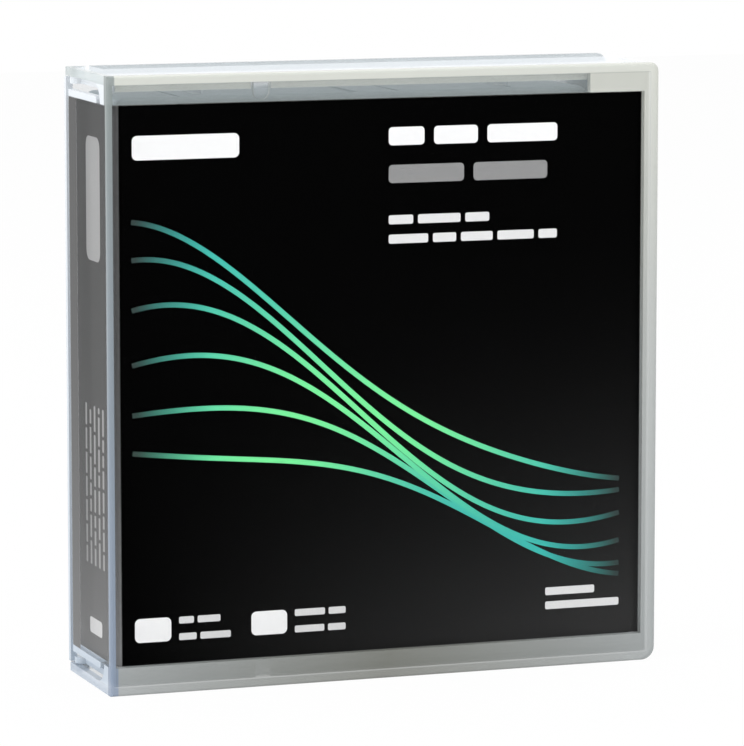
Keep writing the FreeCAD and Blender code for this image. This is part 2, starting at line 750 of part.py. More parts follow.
def make_shell(label, outer, inner, extras):
    """One half of the cartridge's case, from its outer face to the parting plane: what both halves have."""
    body = new_body(label)
    is_upper = outer.value < parting.value
    low, high = (outer, parting) if is_upper else (parting, outer)
    prism(body, "block", "XZ_Plane", low, high, outline=shell_outline(as_size(0), as_size(0)))
    step_x, step_z = cart_right - notch_width, cart_high - notch_depth
    corners = [(cart_left, cart_low), (cart_right, cart_low), (cart_left, cart_high), (step_x, cart_high)]
    corners.append((cart_right, step_z))
    round_edges(body, "corners", shell_corner, either(*[edge_along("y", x=x, z=z) for x, z in corners]))
    round_edges(body, "face_round", face_round, edge_in_plane("y", outer))
    low, high = (inner, parting) if is_upper else (parting, inner)
    cut_prism(body, "hollow", "XZ_Plane", low, high, outline=shell_outline(side_wall, end_wall))
    deep = inner - shell_wall / 2 if is_upper else inner + shell_wall / 2
    low, high = (deep, parting) if is_upper else (parting, deep)
    add_reel_guards(body, low, high)
    for i, (x, z) in enumerate(screw_places()):
        prism(body, f"boss_{i + 1}", "XZ_Plane", low, high, circle=(x, z, boss_radius))
    add_door_track(body, is_upper, inner, deep)
    add_pin_seat(body, is_upper, inner, deep)
    cut_switch_window(body, is_upper, inner, deep)
    cut_end_grooves(body, outer)
    cut_grips(body, outer)
    extras(body)
    return body


def add_reel_guards(body, low, high):
    """Arcs of thin wall that keep the reel in place while the cartridge is handled, in three corners."""
    inner = flange_radius + guard_room
    sketch = new_sketch(body, "guards_sketch", "XZ_Plane", -high)
    draw_circle(sketch, reel_x, reel_z, inner + guard_thick)
    draw_circle(sketch, reel_x, reel_z, inner)
    pad = body.newObject("PartDesign::Pad", "guards")
    pad.Profile = sketch
    bind(pad, "Length", high - low)
    floor, ceiling = cart_low + end_wall, cart_high - end_wall
    wall_right = cart_right - side_wall
    half = flange_radius * guard_middle
    lane_left = reel_x + flange_radius * guard_lane
    gaps = (
        ("lane", lane_left, wall_right, floor + guard_lane_low, ceiling - notch_depth),
        ("middle", reel_x - half, reel_x + half, floor, ceiling),
        ("corner", reel_x, wall_right - notch_width, reel_z + guard_corner_low, ceiling),
        ("flank", cart_left + side_wall, reel_x, reel_z - guard_flank, reel_z + guard_flank),
    )
    if low.value < parting.value - EDGE_TOLERANCE:
        low = low + shell_wall / 2
    else:
        high = high - shell_wall / 2
    for name, x0, x1, z0, z1 in gaps:
        cut_prism(body, f"guard_gap_{name}", "XZ_Plane", low, high, outline=box_points(x0, x1, z0, z1))


def add_door_track(body, is_upper, inner, deep):
    """The tape opening in the side wall, the pocket that the door runs in, its rail and the spring's stop."""
    low, high = (inner, parting) if is_upper else (parting, inner)
    face = cart_right - door_skin
    run_low = door_low - door_travel - door_run_room
    pocket = box_points(face - side_wall, face, run_low, door_high + door_end_room)
    cut_prism(body, "door_pocket", "XZ_Plane", low, high, outline=pocket)
    low, high = (inner + mouth_edge, parting) if is_upper else (parting, inner - mouth_edge)
    mouth_low, mouth_high = door_low + mouth_lap, door_high + door_end_room / 2
    mouth = box_points(face - OVERRUN, cart_right + OVERRUN, mouth_low, mouth_high)
    cut_prism(body, "tape_mouth", "XZ_Plane", low, high, outline=mouth)
    rail_x = door_inner - door_play
    rail = box_points(rail_x - rail_thick, rail_x, run_low, door_high - OVERRUN)
    low, high = (deep, inner + rail_height) if is_upper else (inner - rail_height, deep)
    prism(body, "door_rail", "XZ_Plane", low, high, outline=rail)
    stop_z = door_low - door_spring_length - 2 * spring_end_play
    stop = box_points(door_inner - stop_reach, cart_right - side_wall / 2, stop_z - stop_thick, stop_z)
    low, high = (deep, parting) if is_upper else (parting, deep)
    prism(body, "spring_stop", "XZ_Plane", low, high, outline=stop)
    groove_half = door_spring_radius + door_spring_wire
    groove = box_points(face - side_wall, face, stop_z, run_low + OVERRUN / 2)
    low, high = (parting - groove_half, parting) if is_upper else (parting, parting + groove_half)
    cut_prism(body, "spring_groove", "XZ_Plane", low, high, outline=groove)


def add_pin_seat(body, is_upper, inner, deep):
    """The horseshoe that holds one end of the leader pin, open towards the tape opening."""
    rim = inner + pin_seat_depth if is_upper else inner - pin_seat_depth
    low, high = (deep, rim) if is_upper else (rim, deep)
    outer = pin_flange + pin_seat_wall
    prism(body, "pin_seat", "XZ_Plane", low, high, circle=(pin_x, pin_z, outer))
    low, high = (inner, rim) if is_upper else (rim, inner)
    cut_prism(body, "pin_pocket", "XZ_Plane", low, high, circle=(pin_x, pin_z, pin_flange + pin_seat_play))
    past = outer + running_play
    mouth = box_points(pin_x + pin_seat_mouth, pin_x + past, pin_z - outer, pin_z + outer)
    cut_prism(body, "pin_mouth", "XZ_Plane", low, high, outline=mouth)
    half = strip_width / 2 + running_play * 2
    gap = box_points(pin_x - past, pin_x - pin_flange + OVERRUN / 2, pin_z - half, pin_z + half)
    cut_prism(body, "pin_spring_gap", "XZ_Plane", low, high, outline=gap)


def cut_switch_window(body, is_upper, inner, deep):
    """The write-protect slider's window in the label end, the rib that keeps it in, and the label field."""
    window_left = cart_left + switch_edge
    window_right = window_left + switch_width + switch_travel + 2 * switch_room
    half = switch_half + switch_room
    low, high = (parting - half, parting) if is_upper else (parting, parting + half)
    window = box_points(window_left, window_right, cart_low - OVERRUN, cart_low + end_wall + OVERRUN / 2)
    cut_prism(body, "switch_window", "XZ_Plane", low, high, outline=window)
    rib_low = cart_low + end_wall + switch_plate + 2 * switch_play
    rib_left, rib_right = window_left - switch_rib_tail, window_right + switch_rib_head
    rib = box_points(rib_left, rib_right, rib_low, rib_low + switch_rib)
    past = half + switch_play
    low, high = (deep, parting - past) if is_upper else (parting + past, deep)
    prism(body, "switch_rib", "XZ_Plane", low, high, outline=rib)
    field_left = window_right + label_margin
    field = box_points(field_left, cart_right - label_margin, cart_low - OVERRUN, cart_low + label_depth)
    low, high = (parting - label_half, parting) if is_upper else (parting, parting + label_half)
    cut_prism(body, "label_field", "XZ_Plane", low, high, outline=field)


def flat_span(outer):
    """The Y levels of a shell's side between its rounded outer edge and the parting plane."""
    if outer.value < parting.value:
        return outer + face_round, parting
    return parting, outer - face_round


def cut_end_grooves(body, outer):
    """The upright grooves across the leading end; the last keeps its distance from the stepped corner."""
    low, high = flat_span(outer)
    grooves = (
        (cart_left + groove_place_a, groove_thin),
        (cart_left + groove_place_b, groove_wide),
        (cart_left + groove_place_c, groove_thin),
        (cart_right - notch_width - groove_step_place, groove_thin),
    )
    for i, (x, width) in enumerate(grooves):
        groove = box_points(x - width / 2, x + width / 2, cart_high - groove_depth, cart_high + OVERRUN)
        cut_prism(body, f"end_groove_{i + 1}", "XZ_Plane", low, high, outline=groove)


def cut_grips(body, outer):
    """The finger grooves in each side, near the label end."""
    low, high = flat_span(outer)
    first = cart_low + grip_place
    sides = (
        ("left", cart_left - OVERRUN, cart_left + grip_depth),
        ("right", cart_right - grip_depth, cart_right + OVERRUN),
    )
    for name, x0, x1 in sides:
        groove = box_points(x0, x1, first, first + grip_width)
        feature = cut_prism(body, f"grip_{name}", "XZ_Plane", low, high, outline=groove)
        pattern = body.newObject("PartDesign::LinearPattern", f"grips_{name}")
        pattern.Originals = [feature]
        pattern.Direction = (origin_feature(body, "Z_Axis"), [""])
        bind(pattern, "Length", grip_pitch * (grip_count - 1))
        bind(pattern, "Occurrences", grip_count)
        body.Tip = pattern
        doc.recompute()


def finish_shell_upper(body):
    """The upper shell's square brake key, the spring's seat, pilot holes and the sunk field on its face."""
    half = key_width / 2
    key = box_points(reel_x - half, reel_x + half, reel_z - half, reel_z + half)
    prism(body, "brake_key", "XZ_Plane", inner_front - shell_wall / 2, inner_front + key_height, outline=key)
    seat = spring_radius + spring_wire / 2 + seat_room
    sketch = new_sketch(body, "spring_seat_sketch", "XZ_Plane", -(inner_front + seat_height))
    draw_circle(sketch, reel_x, reel_z, seat + seat_wall)
    draw_circle(sketch, reel_x, reel_z, seat)
    pad = body.newObject("PartDesign::Pad", "spring_seat")
    pad.Profile = sketch
    bind(pad, "Length", seat_height + shell_wall / 2)
    for i, (x, z) in enumerate(screw_places()):
        hole = (x, z, screw_shank + screw_play)
        cut_prism(body, f"pilot_{i + 1}", "XZ_Plane", inner_front + pilot_skin, parting, circle=hole)
    x0, x1 = cart_left + sunk_left, cart_right - sunk_right
    z0, z1 = cart_low + sunk_low, cart_high - sunk_high
    field = box_points(x0, x1, z0, z1)
    cut_prism(body, "sunk_field", "XZ_Plane", cart_front, cart_front + sunk_depth, outline=field)
    corners = [edge_along("y", x=x, z=z) for x, z in field_corners(x0, x1, z0, z1)]
    round_edges(body, "sunk_corners", sunk_corner, either(*corners))


def field_corners(x0, x1, z0, z1):
    """The four corners of a field as pairs of X and Z."""
    return [(x, z) for x in (x0, x1) for z in (z0, z1)]


def finish_shell_lower(body):
    """The lower shell's reel window with its collar, screw holes with sinks, and two locating recesses."""
    face = slot_back + flange_thick + collar_room
    rim = (reel_x, reel_z, hub_window + collar_wall)
    prism(body, "collar", "XZ_Plane", face, inner_back + shell_wall / 2, circle=rim)
    cut_prism(body, "reel_window", "XZ_Plane", face, cart_back + OVERRUN, circle=(reel_x, reel_z, hub_window))
    for i, (x, z) in enumerate(screw_places()):
        through = (x, z, screw_shank + screw_play)
        cut_prism(body, f"screw_hole_{i + 1}", "XZ_Plane", parting, cart_back, circle=through)
        low = cart_back - head_set - head_height
        cut_prism(body, f"screw_sink_{i + 1}", "XZ_Plane", low, cart_back + OVERRUN,
                  circle=(x, z, screw_head + head_room))
    for i, x in enumerate((cart_left + recess_left, cart_right - recess_right)):
        recess = (x, cart_high - recess_drop, recess_radius)
        low, high = cart_back - recess_depth, cart_back + OVERRUN
        cut_prism(body, f"locating_recess_{i + 1}", "XZ_Plane", low, high, circle=recess)


def make_shell_screws():
    """Four screws from the back, one in each corner: a head with a cross slot on a plain shank."""
    screws = []
    head_back = cart_back - head_set
    head_front = head_back - head_height
    for i, (x, z) in enumerate(screw_places()):
        head = turned_rod(f"head_{i + 1}", x, z, head_front, head_back, screw_head)
        tip, neck = inner_front + pilot_skin + pilot_room, head_front + head_height / 2
        shank = turned_rod(f"shank_{i + 1}", x, z, tip, neck, screw_shank)
        slots = []
        for name, along, across in (("flat", slot_long, slot_wide), ("upright", slot_wide, slot_long)):
            slot = doc.addObject("Part::Box", f"slot_{name}_{i + 1}")
            bind(slot, "Length", along)
            bind(slot, "Height", across)
            bind(slot, "Width", slot_deep + OVERRUN)
            bind(slot, "Placement.Base.x", x - along / 2)
            bind(slot, "Placement.Base.y", head_back - slot_deep)
            bind(slot, "Placement.Base.z", z - across / 2)
            slots.append(slot)
        whole = doc.addObject("Part::MultiFuse", f"screw_blank_{i + 1}")
        whole.Shapes = [head, shank]
        cross = doc.addObject("Part::MultiFuse", f"cross_{i + 1}")
        cross.Shapes = slots
        screw = doc.addObject("Part::Cut", f"screw_{i + 1}")
        screw.Base = whole
        screw.Tool = cross
        screws.append(screw)
    group = doc.addObject("Part::Compound", "shell_screws")
    group.Links = screws
    group.Label = "shell_screws"
    nodes.append(group)


def turned_rod(name, x, z, low, high, radius):
    """A cylinder along Y between two levels."""
    rod = doc.addObject("Part::Cylinder", name)
    rod.Placement.Rotation = FreeCAD.Rotation(FreeCAD.Vector(1, 0, 0), -90)
    bind(rod, "Radius", radius)
    bind(rod, "Height", high - low)
    for axis, size in zip("xyz", (x, low, z)):
        bind(rod, f"Placement.Base.{axis}", size)
    return rod


# ---------------------------------------------------------------------------------------------------------
# Reel, brake and tape
# ---------------------------------------------------------------------------------------------------------


def make_reel_hub():
    """The hub moulded with its lower flange: floor, ring of brake teeth inside, chucking teeth outside."""
    body = new_body("reel_hub", (reel_x, 0, reel_z))
    flange_back = slot_back + flange_thick
    window = hub_window - hub_window_room
    profile = [
        (spindle_bore, floor_front), (ring_inner, floor_front), (ring_inner, hub_tips),
        (ring_outer, hub_tips), (ring_outer, floor_front), (hub_bore, floor_front),
        (hub_bore, slot_front), (hub_radius, slot_front), (hub_radius, slot_back),
        (flange_radius, slot_back), (flange_radius, flange_back), (window, flange_back),
        (window, slot_back), (chuck_outer, slot_back), (chuck_outer, chuck_face),
        (chuck_inner, chuck_face), (chuck_inner, slot_back), (spindle_bore, slot_back),
    ]
    spun(body, "turned", profile)
    ring, widths = (ring_inner, ring_outer), (tooth_gap_wide, tooth_gap_narrow)
    gap = crown_gap(body, "brake_gap", hub_tips, hub_tips + tooth_depth, ring, widths)
    around(body, "brake_ring", gap, brake_teeth)
    ring, widths = (chuck_inner, chuck_outer), (chuck_gap_narrow, chuck_gap_wide)
    chuck = crown_gap(body, "chuck_gap", chuck_face - chuck_depth, chuck_face, ring, widths)
    around(body, "chuck_ring", chuck, chuck_teeth)
    low, high = floor_front - running_play, slot_back + running_play
    circle = (leg_circle, 0, leg_radius + running_play)
    hole = cut_prism(body, "leg_hole", "XZ_Plane", low, high, circle=circle)
    around(body, "leg_holes", hole, as_size(3))
    turn_half_pitch(body)
    return body


def make_reel_upper_flange():
    """The flat upper flange with the spigot that centres it in the hub."""
    body = new_body("reel_upper_flange", (reel_x, 0, reel_z))
    face = slot_front - flange_thick
    spigot = hub_bore - running_play
    bore, end = spigot - spigot_wall, slot_front + spigot_length
    profile = [
        (bore, face), (flange_radius, face), (flange_radius, slot_front), (spigot, slot_front),
        (spigot, end), (bore, end),
    ]
    spun(body, "turned", profile)
    return body


def make_clutch_plate():
    """The steel disc that the drive's magnet holds, set on the hub's floor inside the chucking teeth."""
    body = new_body("clutch_plate", (reel_x, 0, reel_z))
    rim = leg_circle - leg_radius - plate_room
    face = slot_back + plate_thick
    spun(body, "turned", [(plate_bore, slot_back), (rim, slot_back), (rim, face), (plate_bore, face)])
    return body


def make_tape_pack():
    """The wound tape, one solid ring between the flanges."""
    body = new_body("tape_pack", (reel_x, 0, reel_z))
    low, high = slot_front + tape_play, slot_back - tape_play
    bore = hub_radius + pack_fit
    spun(body, "wound", [(bore, low), (pack_radius, low), (pack_radius, high), (bore, high)])
    return body


def make_brake():
    """The brake: a toothed disc on a sleeve that slides on the upper shell's square key."""
    body = new_body("brake", (reel_x, 0, reel_z))
    sleeve_front = brake_face_front - brake_sleeve_length
    pad_back = floor_front - brake_pad_room
    profile = [
        (0, sleeve_front), (brake_sleeve, sleeve_front), (brake_sleeve, brake_face_front),
        (brake_radius, brake_face_front), (brake_radius, brake_face_back), (ring_outer, brake_face_back),
        (ring_outer, brake_tips), (ring_inner, brake_tips), (ring_inner, brake_face_back),
        (brake_pad, brake_face_back), (brake_pad, pad_back), (0, pad_back),
    ]
    spun(body, "turned", profile)
    half = key_width / 2 + key_play
    socket_back = inner_front + key_height + brake_lift + running_play
    socket = box_points(-half, half, -half, half)
    cut_prism(body, "key_socket", "XZ_Plane", sleeve_front, socket_back, outline=socket)
    ring, widths = (ring_inner, ring_outer), (tooth_gap_wide, tooth_gap_narrow)
    gap = crown_gap(body, "tooth_gap", brake_tips, brake_face_back + 2 * running_play, ring, widths)
    around(body, "tooth_ring", gap, brake_teeth)
    return body


def make_brake_release():
    """The three-legged release that stands on the hub's floor with its legs through it."""
    body = new_body("brake_release", (reel_x, 0, reel_z))
    back_face = floor_front - running_play
    front_face = back_face - release_thick
    prism(body, "centre", "XZ_Plane", front_face, back_face, circle=(0, 0, release_centre))
    half = release_arm / 2
    outline = box_points(0, leg_circle, -half, half)
    arm = prism(body, "arm", "XZ_Plane", front_face, back_face, outline=outline)
    doc.recompute()
    around(body, "arms", arm, as_size(3))
    rim = (leg_circle, 0, leg_radius + release_foot)
    foot = prism(body, "foot", "XZ_Plane", front_face, back_face, circle=rim)
    doc.recompute()
    around(body, "feet", foot, as_size(3))
    tip = slot_back + release_stand
    leg = prism(body, "leg", "XZ_Plane", back_face, tip, circle=(leg_circle, 0, leg_radius))
    doc.recompute()
    around(body, "legs", leg, as_size(3))
    turn_half_pitch(body)
    return body


def make_coil(label, radius, wire, length, turns, at, axis, sides, steps):
    """A compression spring: wire swept along a helix of short straight lengths, its axis along Y or Z."""
    count = round(turns * steps)
    rise = (length.value - wire.value) / count
    turn = 2 * math.pi / steps
    path = []
    for i in range(count + 1):
        angle = turn * i
        path.append(FreeCAD.Vector(radius.value * math.cos(angle), radius.value * math.sin(angle), rise * i))
    along = (path[1] - path[0]).normalize()
    across = along.cross(FreeCAD.Vector(1, 0, 0)).normalize()
    outward = across.cross(along).normalize()
    ring = []
    for i in range(sides):
        angle = 2 * math.pi * i / sides
        ring.append(path[0] + (outward * math.cos(angle) + across * math.sin(angle)) * (wire.value / 2))
    section = Part.makePolygon(ring + [ring[0]])
    coil = doc.addObject("Part::Feature", label)
    coil.Shape = Part.makePolygon(path).makePipeShell([section], True, False, 1)
    if axis == "Y":
        coil.Placement.Rotation = FreeCAD.Rotation(FreeCAD.Vector(1, 0, 0), -90)
    coil.Placement.Base = FreeCAD.Vector(*[as_size(size).value for size in at])
    coil.Label = label
    nodes.append(coil)


def make_springs():
    """The brake's spring round the key and the door's long spring in the side wall's groove."""
    length = brake_face_front - inner_front - 2 * spring_end_play
    start = (reel_x, inner_front + spring_end_play + spring_wire / 2, reel_z)
    make_coil("brake_spring", spring_radius, spring_wire, length, 3.5, start, "Y", sides=6, steps=14)
    low = door_low - door_spring_length - spring_end_play + door_spring_wire / 2
    place = (door_outer - door_spring_radius - door_spring_wire / 2, parting, low)
    size = (door_spring_radius, door_spring_wire, door_spring_length)
    make_coil("door_spring", *size, 9, place, "Z", sides=4, steps=10)


# ---------------------------------------------------------------------------------------------------------
# Door, leader pin, slider and chip
# ---------------------------------------------------------------------------------------------------------


def make_tape_door():
    """The tape door: a flat slide with a finger lip at its leading end."""
    body = new_body("tape_door")
    low, high = inner_front + door_edge_play, inner_back - door_edge_play
    panel = box_points(door_inner, door_outer, door_low, door_high)
    prism(body, "panel", "XZ_Plane", low, high, outline=panel)
    lip = box_points(door_outer - door_thick / 2, cart_right - door_skin / 3, door_high - door_lip, door_high)
    prism(body, "lip", "XZ_Plane", inner_front + door_lip_inset, inner_back - door_lip_inset, outline=lip)
    ends = either(edge_along("x", y=low, z=door_low), edge_along("x", y=high, z=door_low))
    round_edges(body, "tail_corners", door_corner, ends)
    return body


def make_leader_pin():
    """The steel leader pin: a turned shaft with a flange at each end."""
    body = new_body("leader_pin", (pin_x, 0, pin_z))
    low, high = inner_front + pin_end_play, inner_back - pin_end_play
    neck = pin_rim + pin_taper
    profile = [
        (0, low), (pin_flange, low), (pin_flange, low + pin_rim), (pin_shaft, low + neck),
        (pin_shaft, high - neck), (pin_flange, high - pin_rim), (pin_flange, high), (0, high),
    ]
    spun(body, "turned", profile)
    return body


def make_pin_clip():
    """The plastic clip that snaps round the pin over the end of the tape."""
    body = new_body("leader_pin_clip", (pin_x, 0, pin_z))
    low, high = slot_front + tape_play, slot_back - tape_play
    bore = pin_shaft + clip_fit
    rim = bore + clip_wall
    spun(body, "turned", [(bore, low), (rim, low), (rim, high), (bore, high)])
    mouth = box_points(-clip_mouth / 2, clip_mouth / 2, -rim - OVERRUN, 0)
    cut_prism(body, "mouth", "XZ_Plane", low, high, outline=mouth)
    return body


def make_pin_spring():
    """The sprung strip that holds the leader pin in its seats: a back with one hooked arm at each end."""
    body = new_body("pin_spring", (pin_x, 0, pin_z))
    outer = -(pin_flange + strip_place)
    inner = outer + strip_thick
    half = strip_width / 2
    low, high = inner_front + running_play, inner_back - running_play
    prism(body, "spine", "XZ_Plane", low, high, outline=box_points(outer, inner, -half, half))
    reach = pin_shaft + arm_play
    top = reach + strip_thick
    hook = [
        (outer, -half), (inner, -half), (inner, reach), (reach * 0.7, reach),
        (reach * 1.4, reach * 0.5), (reach * 1.6, reach * 0.65), (reach * 0.9, top), (outer, top),
    ]
    first, last = inner_front + arm_inset, inner_back - arm_inset
    prism(body, "arm_front", "XZ_Plane", first, first + arm_wide, outline=hook)
    prism(body, "arm_back", "XZ_Plane", last - arm_wide, last, outline=hook)
    return body


def make_tape_leader():
    """The tape's free end: a straight strip from the outer turn of the pack to the pin's clip."""
    dx, dz = (pin_x - reel_x).value, (pin_z - reel_z).value
    radius = (pack_radius + leader_gap).value
    distance = math.hypot(dx, dz)
    lean = math.atan2(dz, dx) - math.acos(radius / distance)
    touch = FreeCAD.Vector(math.cos(lean), 0, math.sin(lean))
    along = FreeCAD.Vector(-math.sin(lean), 0, math.cos(lean))
    reach = math.sqrt(distance**2 - radius**2) - (pin_shaft + leader_gap / 2).value
    thick = leader_thick.value
    start = FreeCAD.Vector(reel_x.value, (slot_front + tape_play).value, reel_z.value) + touch * radius
    corners = [start, start + along * reach, start + along * reach + touch * thick, start + touch * thick]
    face = Part.Face(Part.makePolygon(corners + [start]))
    strip = doc.addObject("Part::Feature", "tape_leader")
    strip.Shape = face.extrude(FreeCAD.Vector(0, tape_width.value, 0))
    strip.Label = "tape_leader"
    nodes.append(strip)


def make_switch():
    """The write-protect slider: a plate behind the label end's wall with a ridged knob in the window."""
    body = new_body("write_protect_slider")
    knob_left = cart_left + switch_edge + switch_room
    plate_low = cart_low + end_wall + switch_play
    plate_right = knob_left + switch_width + switch_head
    plate = box_points(knob_left - switch_tail, plate_right, plate_low, plate_low + switch_plate)
    low, high = parting - switch_plate_half, parting + switch_plate_half
    prism(body, "plate", "XZ_Plane", low, high, outline=plate)
    low, high = parting - switch_half, parting + switch_half
    knob_low = cart_low + switch_room
    knob = box_points(knob_left, knob_left + switch_width, knob_low, plate_low + switch_plate / 2)
    prism(body, "knob", "XZ_Plane", low, high, outline=knob)
    for i in range(3):
        x = knob_left + switch_width / 2 + (i - 1) * ridge_pitch
        groove = box_points(x - ridge_gap / 2, x + ridge_gap / 2, knob_low - OVERRUN, knob_low + ridge_depth)
        cut_prism(body, f"ridge_gap_{i + 1}", "XZ_Plane", low, high, outline=groove)
    return body


def make_memory_chip():
    """The memory chip's board, leaning at 45 degrees between the lower shell's wall and the label end."""
    board = doc.addObject("Part::Box", "memory_chip")
    board.Placement.Rotation = FreeCAD.Rotation(FreeCAD.Vector(1, 0, 0), 45)
    bind(board, "Length", chip_length)
    bind(board, "Width", chip_rise * math.sqrt(2))
    bind(board, "Height", chip_thick)
    bind(board, "Placement.Base.x", cart_right - chip_place)
    bind(board, "Placement.Base.y", inner_back - chip_rise - door_edge_play)
    bind(board, "Placement.Base.z", cart_low + end_wall + switch_play)
    board.Label = "memory_chip"
    nodes.append(board)


def write_parts():
    """Check every object and write each sub-part's solid to its own file."""
    doc.recompute()
    for thing in doc.Objects:
        if "Invalid" in thing.State or "Error" in thing.State:
            raise ValueError(f"{thing.Name} ({thing.Label}) failed: {thing.State}")
    for node in nodes:
        if node.Shape.isNull() or not node.Shape.isValid() or not node.Shape.Solids:
            raise ValueError(f"{node.Label} has no valid shape")
    for node in nodes:
        node.Shape.exportStep(f"parts/{node.Label}.step")
        print(f"{node.Label}: {len(node.Shape.Solids)} solid(s), {node.Shape.Volume:.1f} cubic millimetres")


make_case_lid()
make_case_base()
make_insert_card()
make_shell("shell_upper", cart_front, inner_front, finish_shell_upper)
make_shell("shell_lower", cart_back, inner_back, finish_shell_lower)
make_shell_screws()
make_reel_hub()
make_reel_upper_flange()
make_clutch_plate()
make_tape_pack()
make_brake()
make_brake_release()
make_springs()
make_tape_door()
make_leader_pin()
make_pin_clip()
make_pin_spring()
make_tape_leader()
make_switch()
make_memory_chip()
write_parts()
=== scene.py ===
import bpy
import math
import numpy as np
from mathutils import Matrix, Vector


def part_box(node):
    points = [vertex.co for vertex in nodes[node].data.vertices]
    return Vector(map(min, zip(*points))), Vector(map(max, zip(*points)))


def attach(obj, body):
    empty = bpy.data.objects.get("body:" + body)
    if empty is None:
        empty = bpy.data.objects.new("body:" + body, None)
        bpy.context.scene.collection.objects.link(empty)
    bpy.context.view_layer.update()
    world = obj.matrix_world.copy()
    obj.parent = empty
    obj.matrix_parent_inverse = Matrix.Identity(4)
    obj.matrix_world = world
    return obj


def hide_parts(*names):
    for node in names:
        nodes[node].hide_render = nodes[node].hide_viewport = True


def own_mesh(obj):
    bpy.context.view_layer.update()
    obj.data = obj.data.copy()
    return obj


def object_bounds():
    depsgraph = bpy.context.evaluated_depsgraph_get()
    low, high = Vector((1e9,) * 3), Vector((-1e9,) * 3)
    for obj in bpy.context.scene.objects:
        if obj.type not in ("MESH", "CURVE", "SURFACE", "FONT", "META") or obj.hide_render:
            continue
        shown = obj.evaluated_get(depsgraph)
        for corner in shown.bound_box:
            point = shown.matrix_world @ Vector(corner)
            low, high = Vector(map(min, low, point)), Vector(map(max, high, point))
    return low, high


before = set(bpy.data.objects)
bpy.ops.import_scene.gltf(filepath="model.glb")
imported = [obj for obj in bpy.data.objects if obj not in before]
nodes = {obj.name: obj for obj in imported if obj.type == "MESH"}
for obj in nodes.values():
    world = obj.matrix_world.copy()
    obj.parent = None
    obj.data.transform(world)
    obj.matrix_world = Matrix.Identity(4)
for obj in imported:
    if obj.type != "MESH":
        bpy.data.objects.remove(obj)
cad_low, cad_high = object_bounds()

# Where the case stands: a pale table top, under soft light from the left, from above and from the right.
# The table and what surrounds it read as white, and the table keeps a faint shadow.
TABLE_SIZE = 3.0
TABLE_GLOW = 0.97
FILL_LIGHT = 0.55
CAMERA_DOWN = 7.785
CAMERA_TURN = -19.544

scene = bpy.context.scene
scene.view_settings.view_transform = "Standard"


def tree_of(owner):
    """The empty node tree of a material or of the world."""
    owner.use_nodes = True
    owner.node_tree.nodes.clear()
    return owner.node_tree


def add_node(tree, kind, **settings):
    """A node with its properties and unlinked inputs set by name."""
    node = tree.nodes.new(kind)
    for key, value in settings.items():
        if hasattr(node, key):
            setattr(node, key, value)
        else:
            node.inputs[key.replace("_", " ")].default_value = value
    return node


def worked_out(tree, operation, *terms):
    """The result of one sum; each term is a plain number or another node's value."""
    node = add_node(tree, "ShaderNodeMath", operation=operation)
    for pin, term in zip(node.inputs, terms):
        if isinstance(term, (int, float)):
            pin.default_value = term
        else:
            tree.links.new(term, pin)
    return node.outputs[0]


def seen_directly(tree):
    """1 for camera, mirror and clear rays, 0 for the rays that light things."""
    path = add_node(tree, "ShaderNodeLightPath")
    seen = worked_out(tree, "MAXIMUM", path.outputs["Is Camera Ray"], path.outputs["Is Glossy Ray"])
    return worked_out(tree, "MAXIMUM", seen, path.outputs["Is Transmission Ray"])


def end_in_mix(tree, output, share, first, second):
    """End a tree in a mix that goes from a first shader to a second by a share."""
    mix = add_node(tree, "ShaderNodeMixShader")
    out = add_node(tree, output)
    tree.links.new(share, mix.inputs[0])
    tree.links.new(first.outputs[0], mix.inputs[1])
    tree.links.new(second.outputs[0], mix.inputs[2])
    tree.links.new(mix.outputs[0], out.inputs[0])


world = bpy.data.worlds.new("studio")
scene.world = world
tree = tree_of(world)
fill = add_node(tree, "ShaderNodeBackground", Color=(0.97, 0.985, 1, 1), Strength=FILL_LIGHT)
surround = add_node(tree, "ShaderNodeBackground", Color=(1, 1, 1, 1), Strength=1.0)
end_in_mix(tree, "ShaderNodeOutputWorld", seen_directly(tree), fill, surround)

half = TABLE_SIZE / 2
table_corners = [(-half, -half, 0), (half, -half, 0), (half, half, 0), (-half, half, 0)]
table_mesh = bpy.data.meshes.new("table")
table_mesh.from_pydata(table_corners, [], [(0, 1, 2, 3)])
table = bpy.data.objects.new("table", table_mesh)
scene.collection.objects.link(table)
table_paint = bpy.data.materials.new("table")
tree = tree_of(table_paint)
matt = add_node(tree, "ShaderNodeBsdfDiffuse", Color=(0.86, 0.86, 0.86, 1))
bright = add_node(tree, "ShaderNodeEmission", Color=(1, 1, 1, 1), Strength=1.0)
share = worked_out(tree, "MULTIPLY", seen_directly(tree), TABLE_GLOW)
end_in_mix(tree, "ShaderNodeOutputMaterial", share, matt, bright)
table_mesh.materials.append(table_paint)


def lamp(name, place, target, size, power):
    """A square soft lamp at a place, turned to its target."""
    data = bpy.data.lights.new(name, "AREA")
    data.size = size
    data.energy = power
    item = bpy.data.objects.new(name, data)
    item.location = place
    way = np.array(target) - np.array(place)
    flat = math.hypot(way[0], way[1])
    item.rotation_euler = (math.atan2(flat, -way[2]), 0, math.atan2(way[1], way[0]) - math.pi / 2)
    scene.collection.objects.link(item)


case_middle = (0, 0, 0.057)
lamp("left_lamp", place=(-1.1, -0.2, 0.5), target=case_middle, size=0.7, power=8.0)
lamp("top_lamp", place=(0.1, 0.1, 1.1), target=case_middle, size=0.9, power=6.0)
lamp("right_lamp", place=(0.7, -1.0, 0.5), target=case_middle, size=0.6, power=5.0)

camera_data = bpy.data.cameras.new("camera")
camera_data.lens = 232.1
camera_data.sensor_width = 36
camera = bpy.data.objects.new("camera", camera_data)
camera.location = (-0.2987, -0.8463, 0.1785)
camera.rotation_euler = (math.radians(90 - CAMERA_DOWN), 0, math.radians(CAMERA_TURN))
scene.collection.objects.link(camera)
scene.camera = camera

